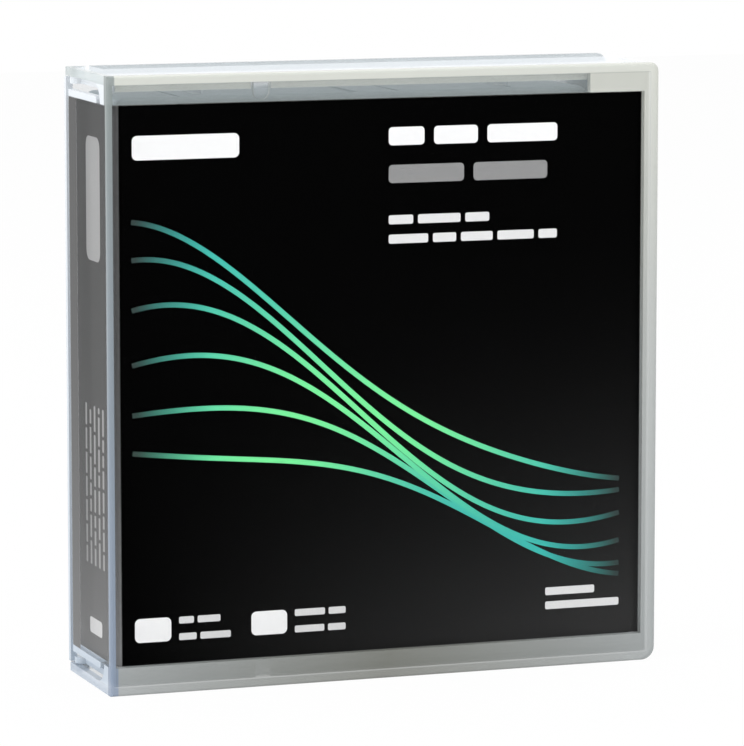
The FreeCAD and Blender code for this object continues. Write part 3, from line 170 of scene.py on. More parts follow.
# Case base: back plate, three inner walls and the pins of the hinge, one clear moulding. It is polished
# where a flat face shows and a little milky in its thickness, as polypropylene is.
CASE_LEFT, CASE_FRONT, CASE_HIGH = cad_low[0], cad_low[1], cad_high[2]
CASE_RIGHT, CASE_BACK = -CASE_LEFT, -CASE_FRONT
WINDOW_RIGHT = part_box("insert_card")[1][0]
WINDOW_HALF_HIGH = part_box("insert_card")[1][2] - CASE_HIGH / 2
BAND_LEFT = 0.0400

# How far each zone reaches in from the outer face that it starts at.
END_WALL = 0.0017
PANE_DEEP = 0.0014
RIM_DEEP = 0.0020
CORNER_WIDE = 0.0014
FOLD_WIDE = 0.0010
SPINE_DEEP = 0.0013
PANEL_DEEP = 0.0037
BENT_WIDE = 0.0079
BENT_DEEP = 0.0002
BACK_DEEP = 0.0016
BRIM_DEEP = 0.0011
ROOF_DEEP = 0.0018

# How much three of the zones cover of what lies behind them, and the tints of the plastic, some of them
# with painted light and shade. A pair of tints runs from the foot to the top.
BRIM_COVER = 0.75
BACK_COVER = 0.13
MILK_COVER = 0.9
CORNER_TINTS = ((0.255, 0.31, 0.405), (0.27, 0.30, 0.29))
BRIM_TINTS = ((0.50, 0.57, 0.66), (0.55, 0.60, 0.60))
# The milky spine's pair is darker at the foot with painted shade.
MILK_SHADED_TINTS = ((0.44, 0.50, 0.57), (0.64, 0.67, 0.70))
# The bent strip is painted with the card's spine panel as the bending plastic shows it; its foot tint is
# lighter with painted glare.
BENT_FOOT_GLARE_TINT = (0.12, 0.12, 0.12)
BENT_TINT = (0.028, 0.028, 0.028)
WALL_TINT = (0.62, 0.67, 0.71)
# The top wall's tint is the plastic's own, made lighter with painted light from above.
ROOF_TINT_WITH_LIGHT = (0.80, 0.84, 0.88)
MARGIN_TINT = (0.36, 0.40, 0.40)
POLISHED_TINT = (0.02, 0.02, 0.02)
# Strength of a painted glow on the top wall and the milky spine, for the light that the plastic scatters.
PAINTED_GLOW = 0.18


def grain_group():
    """The unevenness of a moulded face: a fine noise as a height, and a coarse one as a soft mask."""
    group = bpy.data.node_groups.new("moulded_grain", "ShaderNodeTree")
    group.interface.new_socket("Scale", in_out="INPUT", socket_type="NodeSocketFloat")
    group.interface.new_socket("Height", in_out="OUTPUT", socket_type="NodeSocketFloat")
    group.interface.new_socket("Cloud", in_out="OUTPUT", socket_type="NodeSocketFloat")
    start = group.nodes.new("NodeGroupInput")
    end = group.nodes.new("NodeGroupOutput")
    place = group.nodes.new("ShaderNodeTexCoord")
    fine = add_node(group, "ShaderNodeTexNoise", Detail=3.0)
    cloud = add_node(group, "ShaderNodeTexNoise", Detail=2.0, Scale=45.0)
    group.links.new(place.outputs["Object"], fine.inputs["Vector"])
    group.links.new(place.outputs["Object"], cloud.inputs["Vector"])
    group.links.new(start.outputs["Scale"], fine.inputs["Scale"])
    group.links.new(fine.outputs["Fac"], end.inputs["Height"])
    group.links.new(cloud.outputs["Fac"], end.inputs["Cloud"])
    return group


moulded_grain = grain_group()


def paint(name, finish):
    """Give a CAD node its finish, whole."""
    data = nodes[name].data
    data.materials.clear()
    data.materials.append(finish)


def between(tree, share, low, high):
    """A number that goes from low to high by a share."""
    scale = add_node(tree, "ShaderNodeMapRange", To_Min=low, To_Max=high)
    tree.links.new(share, scale.inputs[0])
    return scale.outputs[0]


def along(tree, value, start, stop):
    """0 where a value is at its start or before it, 1 at its stop or past it, and even between."""
    scale = add_node(tree, "ShaderNodeMapRange", From_Min=start, From_Max=stop)
    tree.links.new(value, scale.inputs[0])
    return scale.outputs[0]


def inverse(tree, value):
    """One less a value."""
    return worked_out(tree, "SUBTRACT", 1.0, value)


def times(tree, first, *others):
    """The product of two or more values."""
    for other in others:
        first = worked_out(tree, "MULTIPLY", first, other)
    return first


def either(tree, first, second):
    """The larger of two masks."""
    return worked_out(tree, "MAXIMUM", first, second)


def above(tree, value, limit, soft=0.0002):
    """1 where a value is over its limit, 0 below, with a short slope between."""
    return along(tree, value, limit - soft / 2, limit + soft / 2)


def below(tree, value, limit):
    """1 where a value is under its limit, 0 above, with a short slope between."""
    return inverse(tree, above(tree, value, limit))


def zones_group():
    """Masks of the case's kinds of surface, and how far up it a point is.

    Pane is the polished window over the card, Margin the strip round it, and Band that strip under the card
    and to its right. Spine is the polished wall over the card's narrow panel, Bent the strip of that wall
    where the plastic bends the view on to the panel, and Milk the spine round the panel. Rim is what else
    stands at the front, where walls are seen on their edges. Corner is the upright edge between pane and
    spine, Brim the ends of the spine and of the back plate, Back that plate inside its edges, and Roof the
    top wall. Rise goes from 0 at the foot to 1 at the top, and Aside from 0 in the middle to 1 at the left
    and right ends.
    """
    group = bpy.data.node_groups.new("case_zones", "ShaderNodeTree")
    place = group.nodes.new("ShaderNodeTexCoord")
    split = group.nodes.new("ShaderNodeSeparateXYZ")
    group.links.new(place.outputs["Object"], split.inputs[0])
    x, y, z = split.outputs
    from_middle = worked_out(group, "ABSOLUTE", worked_out(group, "SUBTRACT", z, CASE_HIGH / 2))
    inside_ends = below(group, from_middle, CASE_HIGH / 2 - END_WALL)
    level_with_card = below(group, from_middle, WINDOW_HALF_HIGH)
    in_front = below(group, y, CASE_FRONT + PANE_DEEP)
    before_back = below(group, y, CASE_BACK - BACK_DEEP)
    at_left = below(group, x, CASE_LEFT + SPINE_DEEP)
    pane_face = times(group, in_front, above(group, x, CASE_LEFT + FOLD_WIDE))
    margin = times(group, pane_face, below(group, x, CASE_RIGHT - END_WALL), inside_ends)
    under_card_top = below(group, z, CASE_HIGH / 2 + WINDOW_HALF_HIGH)
    left_wall = times(group, below(group, x, CASE_LEFT + PANEL_DEEP), inside_ends,
                      inverse(group, in_front), before_back)
    spine = times(group, left_wall, level_with_card)
    back_edge = times(group, at_left, inside_ends, inverse(group, before_back))
    rim = below(group, y, CASE_FRONT + RIM_DEEP)
    outer_wall = either(group, at_left, above(group, y, CASE_BACK - BRIM_DEEP))
    masks = {
        "Pane": times(group, pane_face, level_with_card, below(group, x, WINDOW_RIGHT)),
        "Margin": margin,
        "Band": times(group, margin, either(group, under_card_top, above(group, x, BAND_LEFT))),
        "Spine": spine,
        "Bent": times(group, spine, above(group, y, CASE_BACK - BENT_WIDE),
                      below(group, x, CASE_LEFT + BENT_DEEP)),
        "Milk": either(group, times(group, left_wall, inverse(group, level_with_card)), back_edge),
        "Rim": rim,
        "Corner": times(group, rim, below(group, x, CASE_LEFT + CORNER_WIDE)),
        "Brim": times(group, outer_wall, inverse(group, inside_ends)),
        "Back": times(group, inverse(group, at_left), inside_ends, inverse(group, before_back)),
        "Roof": above(group, z, CASE_HIGH - ROOF_DEEP),
        "Rise": along(group, z, 0.0, CASE_HIGH),
        "Aside": along(group, worked_out(group, "ABSOLUTE", x), 0.0, CASE_RIGHT),
    }
    for name in masks:
        group.interface.new_socket(name, in_out="OUTPUT", socket_type="NodeSocketFloat")
    end = group.nodes.new("NodeGroupOutput")
    for name, mask in masks.items():
        group.links.new(mask, end.inputs[name])
    return group


case_zones = zones_group()


def layered(tree, base, *layers):
    """A base number with others laid over it in turn, each through its own mask."""
    for mask, over in layers:
        mix = add_node(tree, "ShaderNodeMix", data_type="FLOAT")
        tree.links.new(mask, mix.inputs[0])
        if isinstance(base, float):
            mix.inputs[2].default_value = base
        else:
            tree.links.new(base, mix.inputs[2])
        mix.inputs[3].default_value = over
        base = mix.outputs[0]
    return base


def blend(tree, share, first, second):
    """A colour that goes from a first to a second by a share; each is a plain colour or another node's."""
    mix = add_node(tree, "ShaderNodeMix", data_type="RGBA")
    tree.links.new(share, mix.inputs[0])
    for pin, colour in ((mix.inputs[6], first), (mix.inputs[7], second)):
        if isinstance(colour, tuple):
            pin.default_value = (*colour, 1)
        else:
            tree.links.new(colour, pin)
    return mix.outputs[2]


def clear_plastic(name, wall, rim, margin, band, pane, spine, bent, foot, foot_end, top, gloss=0.5):
    """Clear moulded plastic: milky in the walls, denser where it is seen on edge, clear in pane and spine.

    Wall to bent say how much of what lies behind them the zones cover, from 0 to 1. The edges carry painted
    light and shade, for light that enters at the top and at the sides and thins out on its way: they go
    from the foot's painted shade, deeper in the middle than at its ends, to the top's painted light, as the
    square of the height. The bent strip is painted with the card's spine panel as the bending plastic shows
    it, and gets lighter towards the foot with painted glare, as the cube of the depth. The top wall and the
    milky spine have a painted glow, for the light that they scatter.
    """
    finish = bpy.data.materials.new(name)
    tree = tree_of(finish)
    shader = add_node(tree, "ShaderNodeBsdfPrincipled", IOR=1.49, Specular_IOR_Level=gloss)
    out = add_node(tree, "ShaderNodeOutputMaterial")
    zones = add_node(tree, "ShaderNodeGroup", node_tree=case_zones).outputs
    unevenness = add_node(tree, "ShaderNodeGroup", node_tree=moulded_grain, Scale=160.0)
    covers = (("Brim", BRIM_COVER), ("Back", BACK_COVER), ("Rim", rim), ("Margin", margin), ("Band", band),
              ("Pane", pane), ("Spine", spine), ("Milk", MILK_COVER))
    alpha = layered(tree, wall, *((zones[key], cover) for key, cover in covers),
                    (times(tree, zones["Bent"], seen_directly(tree)), bent))
    tree.links.new(alpha, shader.inputs["Alpha"])
    near_top = worked_out(tree, "POWER", zones["Rise"], 2.0)
    near_foot = worked_out(tree, "POWER", inverse(tree, zones["Rise"]), 3.0)
    edge = blend(tree, near_top, blend(tree, zones["Aside"], foot, foot_end), top)
    cornered = blend(tree, zones["Corner"], edge, blend(tree, zones["Rise"], *CORNER_TINTS))
    walls = blend(tree, zones["Roof"], WALL_TINT, ROOF_TINT_WITH_LIGHT)
    brimmed = blend(tree, zones["Brim"], walls, blend(tree, zones["Rise"], *BRIM_TINTS))
    milky = blend(tree, zones["Milk"], brimmed, blend(tree, zones["Rise"], *MILK_SHADED_TINTS))
    margined = blend(tree, zones["Margin"], cornered, MARGIN_TINT)
    rimmed = blend(tree, zones["Rim"], milky, blend(tree, zones["Band"], margined, cornered))
    lit = either(tree, times(tree, zones["Roof"], inverse(tree, zones["Brim"])), zones["Milk"])
    glow = add_node(tree, "ShaderNodeVectorMath", operation="SCALE")
    tree.links.new(rimmed, glow.inputs[0])
    tree.links.new(times(tree, lit, inverse(tree, zones["Rim"])), glow.inputs["Scale"])
    tree.links.new(glow.outputs[0], shader.inputs["Emission Color"])
    shader.inputs["Emission Strength"].default_value = PAINTED_GLOW
    polished = blend(tree, either(tree, zones["Pane"], zones["Spine"]), rimmed, POLISHED_TINT)
    bent_view = blend(tree, near_foot, BENT_TINT, BENT_FOOT_GLARE_TINT)
    tree.links.new(blend(tree, zones["Bent"], polished, bent_view), shader.inputs["Base Color"])
    tree.links.new(between(tree, unevenness.outputs["Cloud"], 0.05, 0.16), shader.inputs["Roughness"])
    relief = add_node(tree, "ShaderNodeBump", Strength=0.2, Distance=0.000008)
    tree.links.new(unevenness.outputs["Height"], relief.inputs["Height"])
    tree.links.new(relief.outputs[0], shader.inputs["Normal"])
    tree.links.new(shader.outputs[0], out.inputs[0])
    return finish


# Foot, foot_end and top are painted shade and light on the edges: dark at the foot, less so at its ends,
# light at the top.
base_finish = clear_plastic("clear_base", wall=0.32, rim=0.85, margin=0.85, band=0.85, pane=0.85,
                            spine=0.32, bent=0.9, foot=(0.26, 0.26, 0.235), foot_end=(0.45, 0.47, 0.47),
                            top=(1.0, 1.0, 0.90))
paint("case_base", base_finish)

# Cartridge shells: two halves in grey-blue polycarbonate with a fine spark-eroded grain, held by four
# bright screws from the back.
UNEVEN_GLOSS = 0.15


def plain_finish(name, colour, shade, roughness, grain=1500.0, bump=0.00001, metallic=0.0, coat=0.0):
    """A moulded or metal finish: two close colours in soft clouds, uneven gloss and a fine raised grain."""
    finish = bpy.data.materials.new(name)
    tree = tree_of(finish)
    shader = add_node(tree, "ShaderNodeBsdfPrincipled", Metallic=metallic, Coat_Weight=coat)
    out = add_node(tree, "ShaderNodeOutputMaterial")
    unevenness = add_node(tree, "ShaderNodeGroup", node_tree=moulded_grain, Scale=grain)
    cloud = unevenness.outputs["Cloud"]
    rough = between(tree, cloud, roughness * (1 - UNEVEN_GLOSS), roughness * (1 + UNEVEN_GLOSS))
    relief = add_node(tree, "ShaderNodeBump", Strength=0.5, Distance=bump)
    tree.links.new(unevenness.outputs["Height"], relief.inputs["Height"])
    tree.links.new(blend(tree, cloud, colour, shade), shader.inputs["Base Color"])
    tree.links.new(rough, shader.inputs["Roughness"])
    tree.links.new(relief.outputs[0], shader.inputs["Normal"])
    tree.links.new(shader.outputs[0], out.inputs[0])
    return finish


shell_finish = plain_finish("shell_grey", (0.40, 0.455, 0.475), (0.37, 0.425, 0.445), roughness=0.42,
                            grain=2600.0, bump=0.00003)
paint("shell_upper", shell_finish)
paint("shell_lower", shell_finish)
screw_finish = plain_finish("screw_steel", (0.62, 0.62, 0.63), (0.55, 0.55, 0.56), roughness=0.28,
                            grain=900.0, bump=0.000004, metallic=1.0)
paint("shell_screws", screw_finish)

# Reel: white hub with its lower flange, a clear upper flange bonded on, and the steel plate that a drive's
# magnet holds.
hub_finish = plain_finish("reel_white", (0.74, 0.75, 0.74), (0.70, 0.71, 0.70), roughness=0.38,
                          grain=1800.0)
paint("reel_hub", hub_finish)
flange_finish = plain_finish("flange_pale", (0.62, 0.66, 0.68), (0.58, 0.62, 0.64), roughness=0.2,
                             grain=900.0, coat=0.3)
paint("reel_upper_flange", flange_finish)
plate_finish = plain_finish("plate_steel", (0.60, 0.60, 0.61), (0.54, 0.54, 0.55), roughness=0.34,
                            grain=700.0, metallic=1.0)
paint("clutch_plate", plate_finish)

# Tape: coated polyester wound on the hub, whose edge shows as fine rings. The free end runs straight from
# the pack to the leader pin.
TAPE_DARK = (0.035, 0.028, 0.022)
TAPE_LIGHT = (0.085, 0.068, 0.052)


def tape_finish():
    """Dark tape edge: rings of slightly different brown by distance from the reel's middle."""
    finish = bpy.data.materials.new("tape_edge")
    tree = tree_of(finish)
    shader = add_node(tree, "ShaderNodeBsdfPrincipled")
    out = add_node(tree, "ShaderNodeOutputMaterial")
    place = tree.nodes.new("ShaderNodeTexCoord")
    low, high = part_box("tape_pack")
    shift = add_node(tree, "ShaderNodeMapping", Location=[-(a + b) / 2 for a, b in zip(low, high)])
    flat = add_node(tree, "ShaderNodeVectorMath", operation="MULTIPLY")
    flat.inputs[1].default_value = (1, 0, 1)
    radius = add_node(tree, "ShaderNodeVectorMath", operation="LENGTH")
    rings = add_node(tree, "ShaderNodeTexNoise", noise_dimensions="1D", Scale=2600.0, Detail=4.0)
    tree.links.new(place.outputs["Object"], shift.inputs[0])
    tree.links.new(shift.outputs[0], flat.inputs[0])
    tree.links.new(flat.outputs[0], radius.inputs[0])
    tree.links.new(radius.outputs["Value"], rings.inputs["W"])
    ring = rings.outputs["Fac"]
    tree.links.new(blend(tree, ring, TAPE_DARK, TAPE_LIGHT), shader.inputs["Base Color"])
    tree.links.new(between(tree, ring, 0.25, 0.45), shader.inputs["Roughness"])
    tree.links.new(shader.outputs[0], out.inputs[0])
    return finish


tape_brown = tape_finish()
paint("tape_pack", tape_brown)
paint("tape_leader", tape_brown)

# Brake and its release: a natural acetal brake that slides on the shell's square key, and a dark release
# whose three legs pass through the hub's floor.
brake_finish = plain_finish("brake_natural", (0.66, 0.68, 0.65), (0.61, 0.63, 0.60), roughness=0.34)
paint("brake", brake_finish)
dark_finish = plain_finish("dark_acetal", (0.042, 0.044, 0.048), (0.035, 0.037, 0.040), roughness=0.36,
                           grain=1700.0)
paint("brake_release", dark_finish)

# Springs: drawn wire coils, the brake's round its key and the door's long one in the side wall.
RINGS_A_TURN = 40
WIRE_SIDES = 10

spring_finish = plain_finish("spring_wire", (0.50, 0.50, 0.52), (0.44, 0.44, 0.46), roughness=0.3,
                             grain=1200.0, bump=0.000003, metallic=1.0)


def new_piece(name, points, faces, *finishes):
    """A mesh object from an array of points and its faces, with its finishes."""
    mesh = bpy.data.meshes.new(name)
    mesh.from_pydata(np.asarray(points).tolist(), [], [tuple(face) for face in faces])
    for finish in finishes:
        mesh.materials.append(finish)
    piece = bpy.data.objects.new(name, mesh)
    scene.collection.objects.link(piece)
    return piece


def tube_faces(rows, columns):
    """The faces of a closed tube of rings: four-sided between rings, and one many-sided cap at each end."""
    ring, step = np.meshgrid(np.arange(rows - 1), np.arange(columns), indexing="ij")
    here = ring * columns + step
    after = ring * columns + (step + 1) % columns
    sides = np.stack([here, after, after + columns, here + columns], axis=-1).reshape(-1, 4)
    last = (rows - 1) * columns
    return [*sides.tolist(), list(range(columns))[::-1], list(range(last, last + columns))]


def coil(name, node, axis, wire, turns):
    """A coil of round wire in the CAD node's box: its rings lie square to a helix at radius box/2 - wire/2.

    The helix runs evenly along the axis, from half a wire inside the low end of the box to half a wire
    inside the high end.
    """
    low, high = (np.array(corner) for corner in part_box(node))
    centre = (low + high) / 2
    radius = (np.delete(high - low, axis).min() - wire) / 2
    share = np.linspace(0, 1, int(turns * RINGS_A_TURN))
    angle = 2 * np.pi * turns * share
    first, second = [i for i in range(3) if i != axis]
    outward = np.zeros((len(share), 3))
    outward[:, first] = np.cos(angle)
    outward[:, second] = np.sin(angle)
    middle_line = centre + outward * radius
    middle_line[:, axis] = low[axis] + wire / 2 + (high - low - wire)[axis] * share
    along_wire = np.gradient(middle_line, axis=0)
    along_wire /= np.linalg.norm(along_wire, axis=1, keepdims=True)
    across = np.cross(along_wire, outward)
    turn = np.linspace(0, 2 * np.pi, WIRE_SIDES, endpoint=False)[None, :, None]
    around = outward[:, None] * np.cos(turn) + across[:, None] * np.sin(turn)
    rings = middle_line[:, None] + around * wire / 2
    piece = new_piece(name, rings.reshape(-1, 3), tube_faces(len(share), WIRE_SIDES), spring_finish)
    piece.data.shade_smooth()
    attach(piece, "base")
    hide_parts(node)
    return piece, low, high


brake_coil, low, high = coil("brake_coil", "brake_spring", axis=1, wire=0.0009, turns=3.5)
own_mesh(brake_coil)
door_coil, low, high = coil("door_coil", "door_spring", axis=2, wire=0.0003, turns=16)
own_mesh(door_coil)

# Door, leader pin and small fittings: dark acetal door and pin clip, bright pin, spring strip, red slider
# and the chip's green board.
paint("tape_door", dark_finish)
paint("leader_pin_clip", dark_finish)
paint("leader_pin", screw_finish)
paint("pin_spring", spring_finish)
slider_finish = plain_finish("slider_red", (0.50, 0.045, 0.035), (0.44, 0.038, 0.03), roughness=0.38)
paint("write_protect_slider", slider_finish)
board_finish = plain_finish("board_green", (0.03, 0.12, 0.06), (0.024, 0.10, 0.05), roughness=0.25,
                            coat=0.5)
paint("memory_chip", board_finish)

# Insert card: one printed sheet of coated card, folded once at the left. It lies just behind the pane and
# the spine. Its print is a black field, a bundle of flowing lines and plain bars in place of words; its
# inner side and its edges are bare paper.
CARD_THICK = 0.0003
CARD_GAP = 0.00004
PANEL_SHORT = 0.0002
PANEL_PRINT = 0.0012
PANEL_GREY = (0.118, 0.118, 0.118)
# The spine panel's colour at the foot: its grey print made lighter with painted glare.
PANEL_FOOT_GLARE = (0.285, 0.285, 0.285)
# The front's colour at the foot on the right: its black print with a painted sheen of dark grey.
FRONT_FOOT_SHEEN = (0.040, 0.040, 0.040)
CARD_GLOSS = 0.006
card_low, card_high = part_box("insert_card")
spine_inner, pane_inner = card_low[0], card_low[1]


def card_outline(steps=12, bend=0.0014):
    """The card's outer line seen from above: spine panel, quarter-circle fold, front panel."""
    x0, y0 = spine_inner + CARD_GAP, pane_inner + CARD_GAP
    quarter = np.linspace(np.pi, 1.5 * np.pi, steps)
    fold = np.stack([x0 + bend + bend * np.cos(quarter), y0 + bend + bend * np.sin(quarter)], axis=-1)
    return np.vstack([[x0, card_high[1] - PANEL_SHORT], fold, [card_high[0], y0]])


def card_points():
    """The outer line, and the same line set in by the card's thickness, each at the card's foot and top."""
    outer = card_outline()
    slope = np.gradient(outer, axis=0)
    slope /= np.linalg.norm(slope, axis=1, keepdims=True)
    inner = outer + np.stack([-slope[:, 1], slope[:, 0]], axis=-1) * CARD_THICK
    loop = np.vstack([outer, inner[::-1]])
    foot = np.column_stack([loop, np.full(len(loop), card_low[2])])
    top = np.column_stack([loop, np.full(len(loop), card_high[2])])
    return np.vstack([foot, top]), len(loop)


def card_finish():
    """Printed card: a black field with a painted sheen of dark grey towards the foot on the right, and grey
    print on the spine panel.

    The painted sheen grows as the depth below the top to the power 3.6 times the distance from the left to
    the power 1.3. The spine's grey gets lighter towards the foot with painted glare, as the same power of
    the depth.
    """
    finish = plain_finish("card_print", (0.0004, 0.0004, 0.0004), (0.0006, 0.0006, 0.0006), roughness=0.45,
                          grain=900.0, bump=0.00000001)
    tree = finish.node_tree
    shader = tree.nodes["Principled BSDF"]
    shader.inputs["Specular IOR Level"].default_value = CARD_GLOSS
    place = tree.nodes.new("ShaderNodeTexCoord")
    split = tree.nodes.new("ShaderNodeSeparateXYZ")
    tree.links.new(place.outputs["Object"], split.inputs[0])
    x, _, z = split.outputs
    depth = worked_out(tree, "POWER", along(tree, z, card_high[2], card_low[2]), 3.6)
    distance = worked_out(tree, "POWER", along(tree, x, card_low[0], card_high[0]), 1.3)
    black = shader.inputs["Base Color"].links[0].from_socket
    front = blend(tree, times(tree, depth, distance), black, FRONT_FOOT_SHEEN)
    panel = blend(tree, depth, PANEL_GREY, PANEL_FOOT_GLARE)
    on_panel = below(tree, x, spine_inner + PANEL_PRINT)
    tree.links.new(blend(tree, on_panel, front, panel), shader.inputs["Base Color"])
    return finish


points, count = card_points()
here = np.arange(count)
after = (here + 1) % count
walls = np.stack([here, after, after + count, here + count], axis=-1)
strip = np.arange(count // 2 - 1)
far = count - 1 - strip
ends = np.stack([strip, far, far - 1, strip + 1], axis=-1)
faces = [*walls.tolist(), *ends.tolist(), *(ends[:, ::-1] + count).tolist()]
bare_paper = plain_finish("card_paper", (0.55, 0.55, 0.53), (0.50, 0.50, 0.48), roughness=0.7, grain=2500.0)
card = new_piece("card", points, faces, card_finish(), bare_paper)
# The faces of the sheet's outer side come first, and only they are printed.
unprinted = np.ones(len(faces), dtype=np.int32)
unprinted[:count // 2 - 1] = 0
card.data.polygons.foreach_set("material_index", unprinted)
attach(card, "lid")
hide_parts("insert_card")

# The card's motif: six printed lines, spread at the left and close together at the right. Their ink is teal
# and turns green near the middle of each line.
INK_THICK = 0.00001
PRINT_Y = pane_inner + CARD_GAP - INK_THICK
PRINT_X = spine_inner + CARD_GAP - INK_THICK
LINE_COUNT = 6
LINE_STEPS = 160
LINE_WIDTH = 0.00095
LINE_LIFT = 0.000004
SPREAD = 0.011
LEFT_MARGIN, RIGHT_MARGIN = 0.0035, 0.004
LEFT_HEIGHT, FALL = 0.066, 0.040
LEFT_SPREAD, SPREAD_LOSS = 1.6, 1.1
RIPPLE, RIPPLE_SHIFT = 0.004, 180
TEAL = np.array([0.016, 0.46, 0.41])
GREEN = np.array([0.17, 0.86, 0.31])
GREEN_PLACE, GREEN_SHIFT, GREEN_SPAN = 0.42, 12, 0.24
FADE_SPAN, FADED = 0.16, 0.05


def flowing_line(offset, width, lift):
    """One line of the motif: a ribbon of constant width along an S, lifted a little off the card.

    The S falls from left to right: its height is a smooth step between two levels, moved by the line's
    offset, with a small ripple of one wave added. Its colour is teal, turns green in a bell round a place
    near the middle, and fades at both ends.
    """
    share = np.linspace(0, 1, LINE_STEPS)
    left_end, right_end = spine_inner + LEFT_MARGIN, card_high[0] - RIGHT_MARGIN
    x = left_end + (right_end - left_end) * share
    step = share * share * (3 - 2 * share)
    z = LEFT_HEIGHT + offset * (LEFT_SPREAD - SPREAD_LOSS * step) - FALL * step
    z = z + RIPPLE * np.sin(2 * np.pi * share + offset * RIPPLE_SHIFT)
    slope = np.stack([np.gradient(x), np.gradient(z)], axis=-1)
    slope /= np.linalg.norm(slope, axis=1, keepdims=True)
    side = np.stack([-slope[:, 1], slope[:, 0]], axis=-1) * width / 2
    line = np.stack([x, z], axis=-1)
    edges = np.stack([line - side, line + side], axis=1)
    points = np.insert(edges.reshape(-1, 2), 1, PRINT_Y - lift, axis=1)
    green = np.exp(-(((share - GREEN_PLACE - offset * GREEN_SHIFT) / GREEN_SPAN) ** 2))[:, None]
    fade = np.clip(np.minimum(share, 1 - share) / FADE_SPAN, FADED, 1)[:, None]
    tint = (TEAL + (GREEN - TEAL) * green) * fade
    return points, np.repeat(tint, 2, axis=0)


def ink_finish():
    """Printed ink: its colour is the one kept at the piece's points, a little mottled by the fine grain."""
    finish = bpy.data.materials.new("ink")
    tree = tree_of(finish)
    shader = add_node(tree, "ShaderNodeBsdfPrincipled", Roughness=0.35)
    out = add_node(tree, "ShaderNodeOutputMaterial")
    colour = add_node(tree, "ShaderNodeAttribute", attribute_name="tint")
    unevenness = add_node(tree, "ShaderNodeGroup", node_tree=moulded_grain, Scale=1200.0)
    mottled = add_node(tree, "ShaderNodeVectorMath", operation="SCALE")
    tree.links.new(colour.outputs["Color"], mottled.inputs[0])
    tree.links.new(between(tree, unevenness.outputs["Height"], 0.94, 1.0), mottled.inputs["Scale"])
    tree.links.new(mottled.outputs[0], shader.inputs["Base Color"])
    tree.links.new(shader.outputs[0], out.inputs[0])
    return finish


ink = ink_finish()


def printed(name, points, faces, tints):
    """A flat printed piece on the card, whose colour is kept at its points."""
    piece = new_piece(name, points, faces, ink)
    layer = piece.data.color_attributes.new("tint", "FLOAT_COLOR", "POINT")
    layer.data.foreach_set("color", np.column_stack([tints, np.ones(len(tints))]).ravel())
    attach(piece, "lid")


for number, offset in enumerate(np.linspace(-SPREAD, SPREAD, LINE_COUNT)):
    points, tints = flowing_line(offset, LINE_WIDTH, number * LINE_LIFT)
    row = np.arange(len(points) // 2 - 1) * 2
    faces = np.stack([row, row + 2, row + 3, row + 1], axis=-1).tolist()
    printed(f"motif_line_{number + 1}", points, faces, tints)

# The card's bars, where a real card has its words and marks. Each bar is a left end, a right end, a foot
# and a top; on the spine the first two run from front to back.
WORDS = 12
SHORTEST, LONGEST = 1.8, 5.0
WORD_GAP = 0.55
ROUNDING = 0.45
BAR_POINTS = 24


def word_bars(start, stop, middle, height, seed):
    """A line of words as bars, from start to stop, with the line's middle height and the height of a bar.

    The lengths are drawn between 1.8 and 5 heights, the gaps are 0.55 heights, and the last bar is cut at
    stop.
    """
    lengths = np.random.default_rng(seed).uniform(SHORTEST, LONGEST, WORDS) * height
    lefts = start + np.concatenate([[0], np.cumsum(lengths + height * WORD_GAP)[:-1]])
    keep = lefts + height < stop
    rights = np.minimum((lefts + lengths)[keep], stop)
    level = np.full(len(rights), middle)
    return np.column_stack([lefts[keep], rights, level - height / 2, level + height / 2])


def flat_bars(name, bars, grey, spine=False):
    """Bars printed in one grey: each is the outline of a box with rounded corners, filled."""
    turn = np.linspace(0, 2 * np.pi, BAR_POINTS, endpoint=False) + np.pi / BAR_POINTS
    across, up = np.cos(turn), np.sin(turn)
    centre = (bars[:, [0, 2]] + bars[:, [1, 3]]) / 2
    half = (bars[:, [1, 3]] - bars[:, [0, 2]]) / 2
    corner = half.min(axis=1, keepdims=True) * ROUNDING
    u = centre[:, :1] + np.sign(across) * (half[:, :1] - corner) + across * corner
    v = centre[:, 1:] + np.sign(up) * (half[:, 1:] - corner) + up * corner
    level = np.full_like(u, PRINT_X if spine else PRINT_Y)
    points = np.stack([level, u, v] if spine else [u, level, v], axis=-1).reshape(-1, 3)
    order = np.arange(BAR_POINTS)[::-1] if spine else np.arange(BAR_POINTS)
    faces = [(order + BAR_POINTS * i).tolist() for i in range(len(bars))]
    printed(name, points, faces, np.full((len(points), 3), grey))


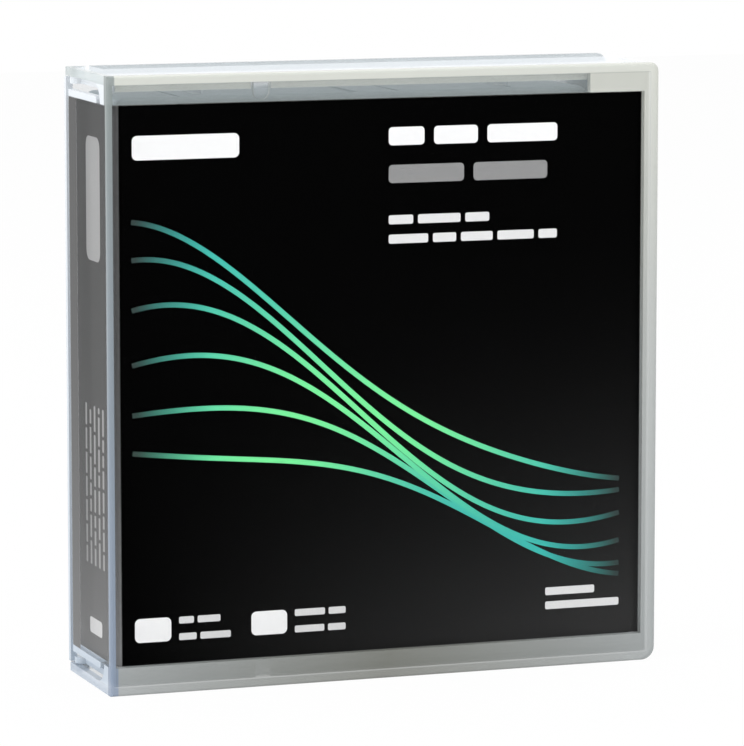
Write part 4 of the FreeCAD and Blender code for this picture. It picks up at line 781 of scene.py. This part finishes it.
title_left = 0.0005
white_title = word_bars(title_left, stop=0.034, middle=0.1015, height=0.0034, seed=3)
grey_title = word_bars(title_left, stop=0.032, middle=0.0945, height=0.0034, seed=5)
first_note = word_bars(title_left, stop=0.022, middle=0.0860, height=0.0017, seed=8)
second_note = word_bars(title_left, stop=0.034, middle=0.0824, height=0.0017, seed=9)
flat_bars("title_bars", white_title, grey=0.95)
flat_bars("subtitle_bars", grey_title, grey=0.26)
flat_bars("note_bars", np.vstack([first_note, second_note]), grey=0.78)
flat_bars("mark_bar", np.array([[-0.0490, -0.0285, 0.0985, 0.1030]]), grey=0.95)
figures = np.array([[-0.0490, -0.0420, 0.0095, 0.0140], [-0.0265, -0.0195, 0.0095, 0.0140]])
flat_bars("figure_bars", figures, grey=0.92)
first_caption, second_caption, caption_length = -0.0405, -0.0180, 0.010
upper_line, lower_line = 0.0133, 0.0102
caption_places = ((first_caption, upper_line, 11), (first_caption, lower_line, 12),
                  (second_caption, upper_line, 13), (second_caption, lower_line, 14))
captions = [word_bars(left, left + caption_length, level, height=0.0013, seed=seed)
            for left, level, seed in caption_places]
flat_bars("caption_bars", np.vstack(captions), grey=0.70)
corner_lines = np.array([[0.0320, 0.0420, 0.0135, 0.0150], [0.0320, 0.0470, 0.0108, 0.0123]])
flat_bars("corner_bars", corner_lines, grey=0.75)

spine_middle = (pane_inner + card_high[1]) / 2 + 0.001
title_half, mark_half, notes_half = 0.0045, 0.004, 0.0055
spine_title = np.array([[spine_middle - title_half, spine_middle + title_half, 0.0790, 0.1020]])
flat_bars("spine_title", spine_title, grey=0.48, spine=True)
upright_lines = []
for number, place in enumerate(np.linspace(-notes_half, notes_half, 5)):
    line = word_bars(0.022, stop=0.052, middle=spine_middle + place, height=0.0011, seed=20 + number)
    upright_lines.append(line[:, [2, 3, 0, 1]])
flat_bars("spine_notes", np.vstack(upright_lines), grey=0.45, spine=True)
spine_mark = np.array([[spine_middle - mark_half, spine_middle + mark_half, 0.0090, 0.0120]])
flat_bars("spine_mark", spine_mark, grey=0.95, spine=True)

# Case lid: front pane, spine and four low walls in the same clear plastic. Its two ears turn on the base's
# pins, and its lugs hold the card from above and below.
# Foot, foot_end and top are painted shade and light on the edges: dark at the foot, less so at its ends,
# light at the top.
lid_finish = clear_plastic("clear_lid", wall=0.32, rim=0.92, margin=0.28, band=0.82, pane=0.01, spine=0.12,
                           bent=1.0, foot=(0.235, 0.24, 0.215), foot_end=(0.40, 0.42, 0.42),
                           top=(0.63, 0.64, 0.585), gloss=0.1)
paint("case_lid", lid_finish)
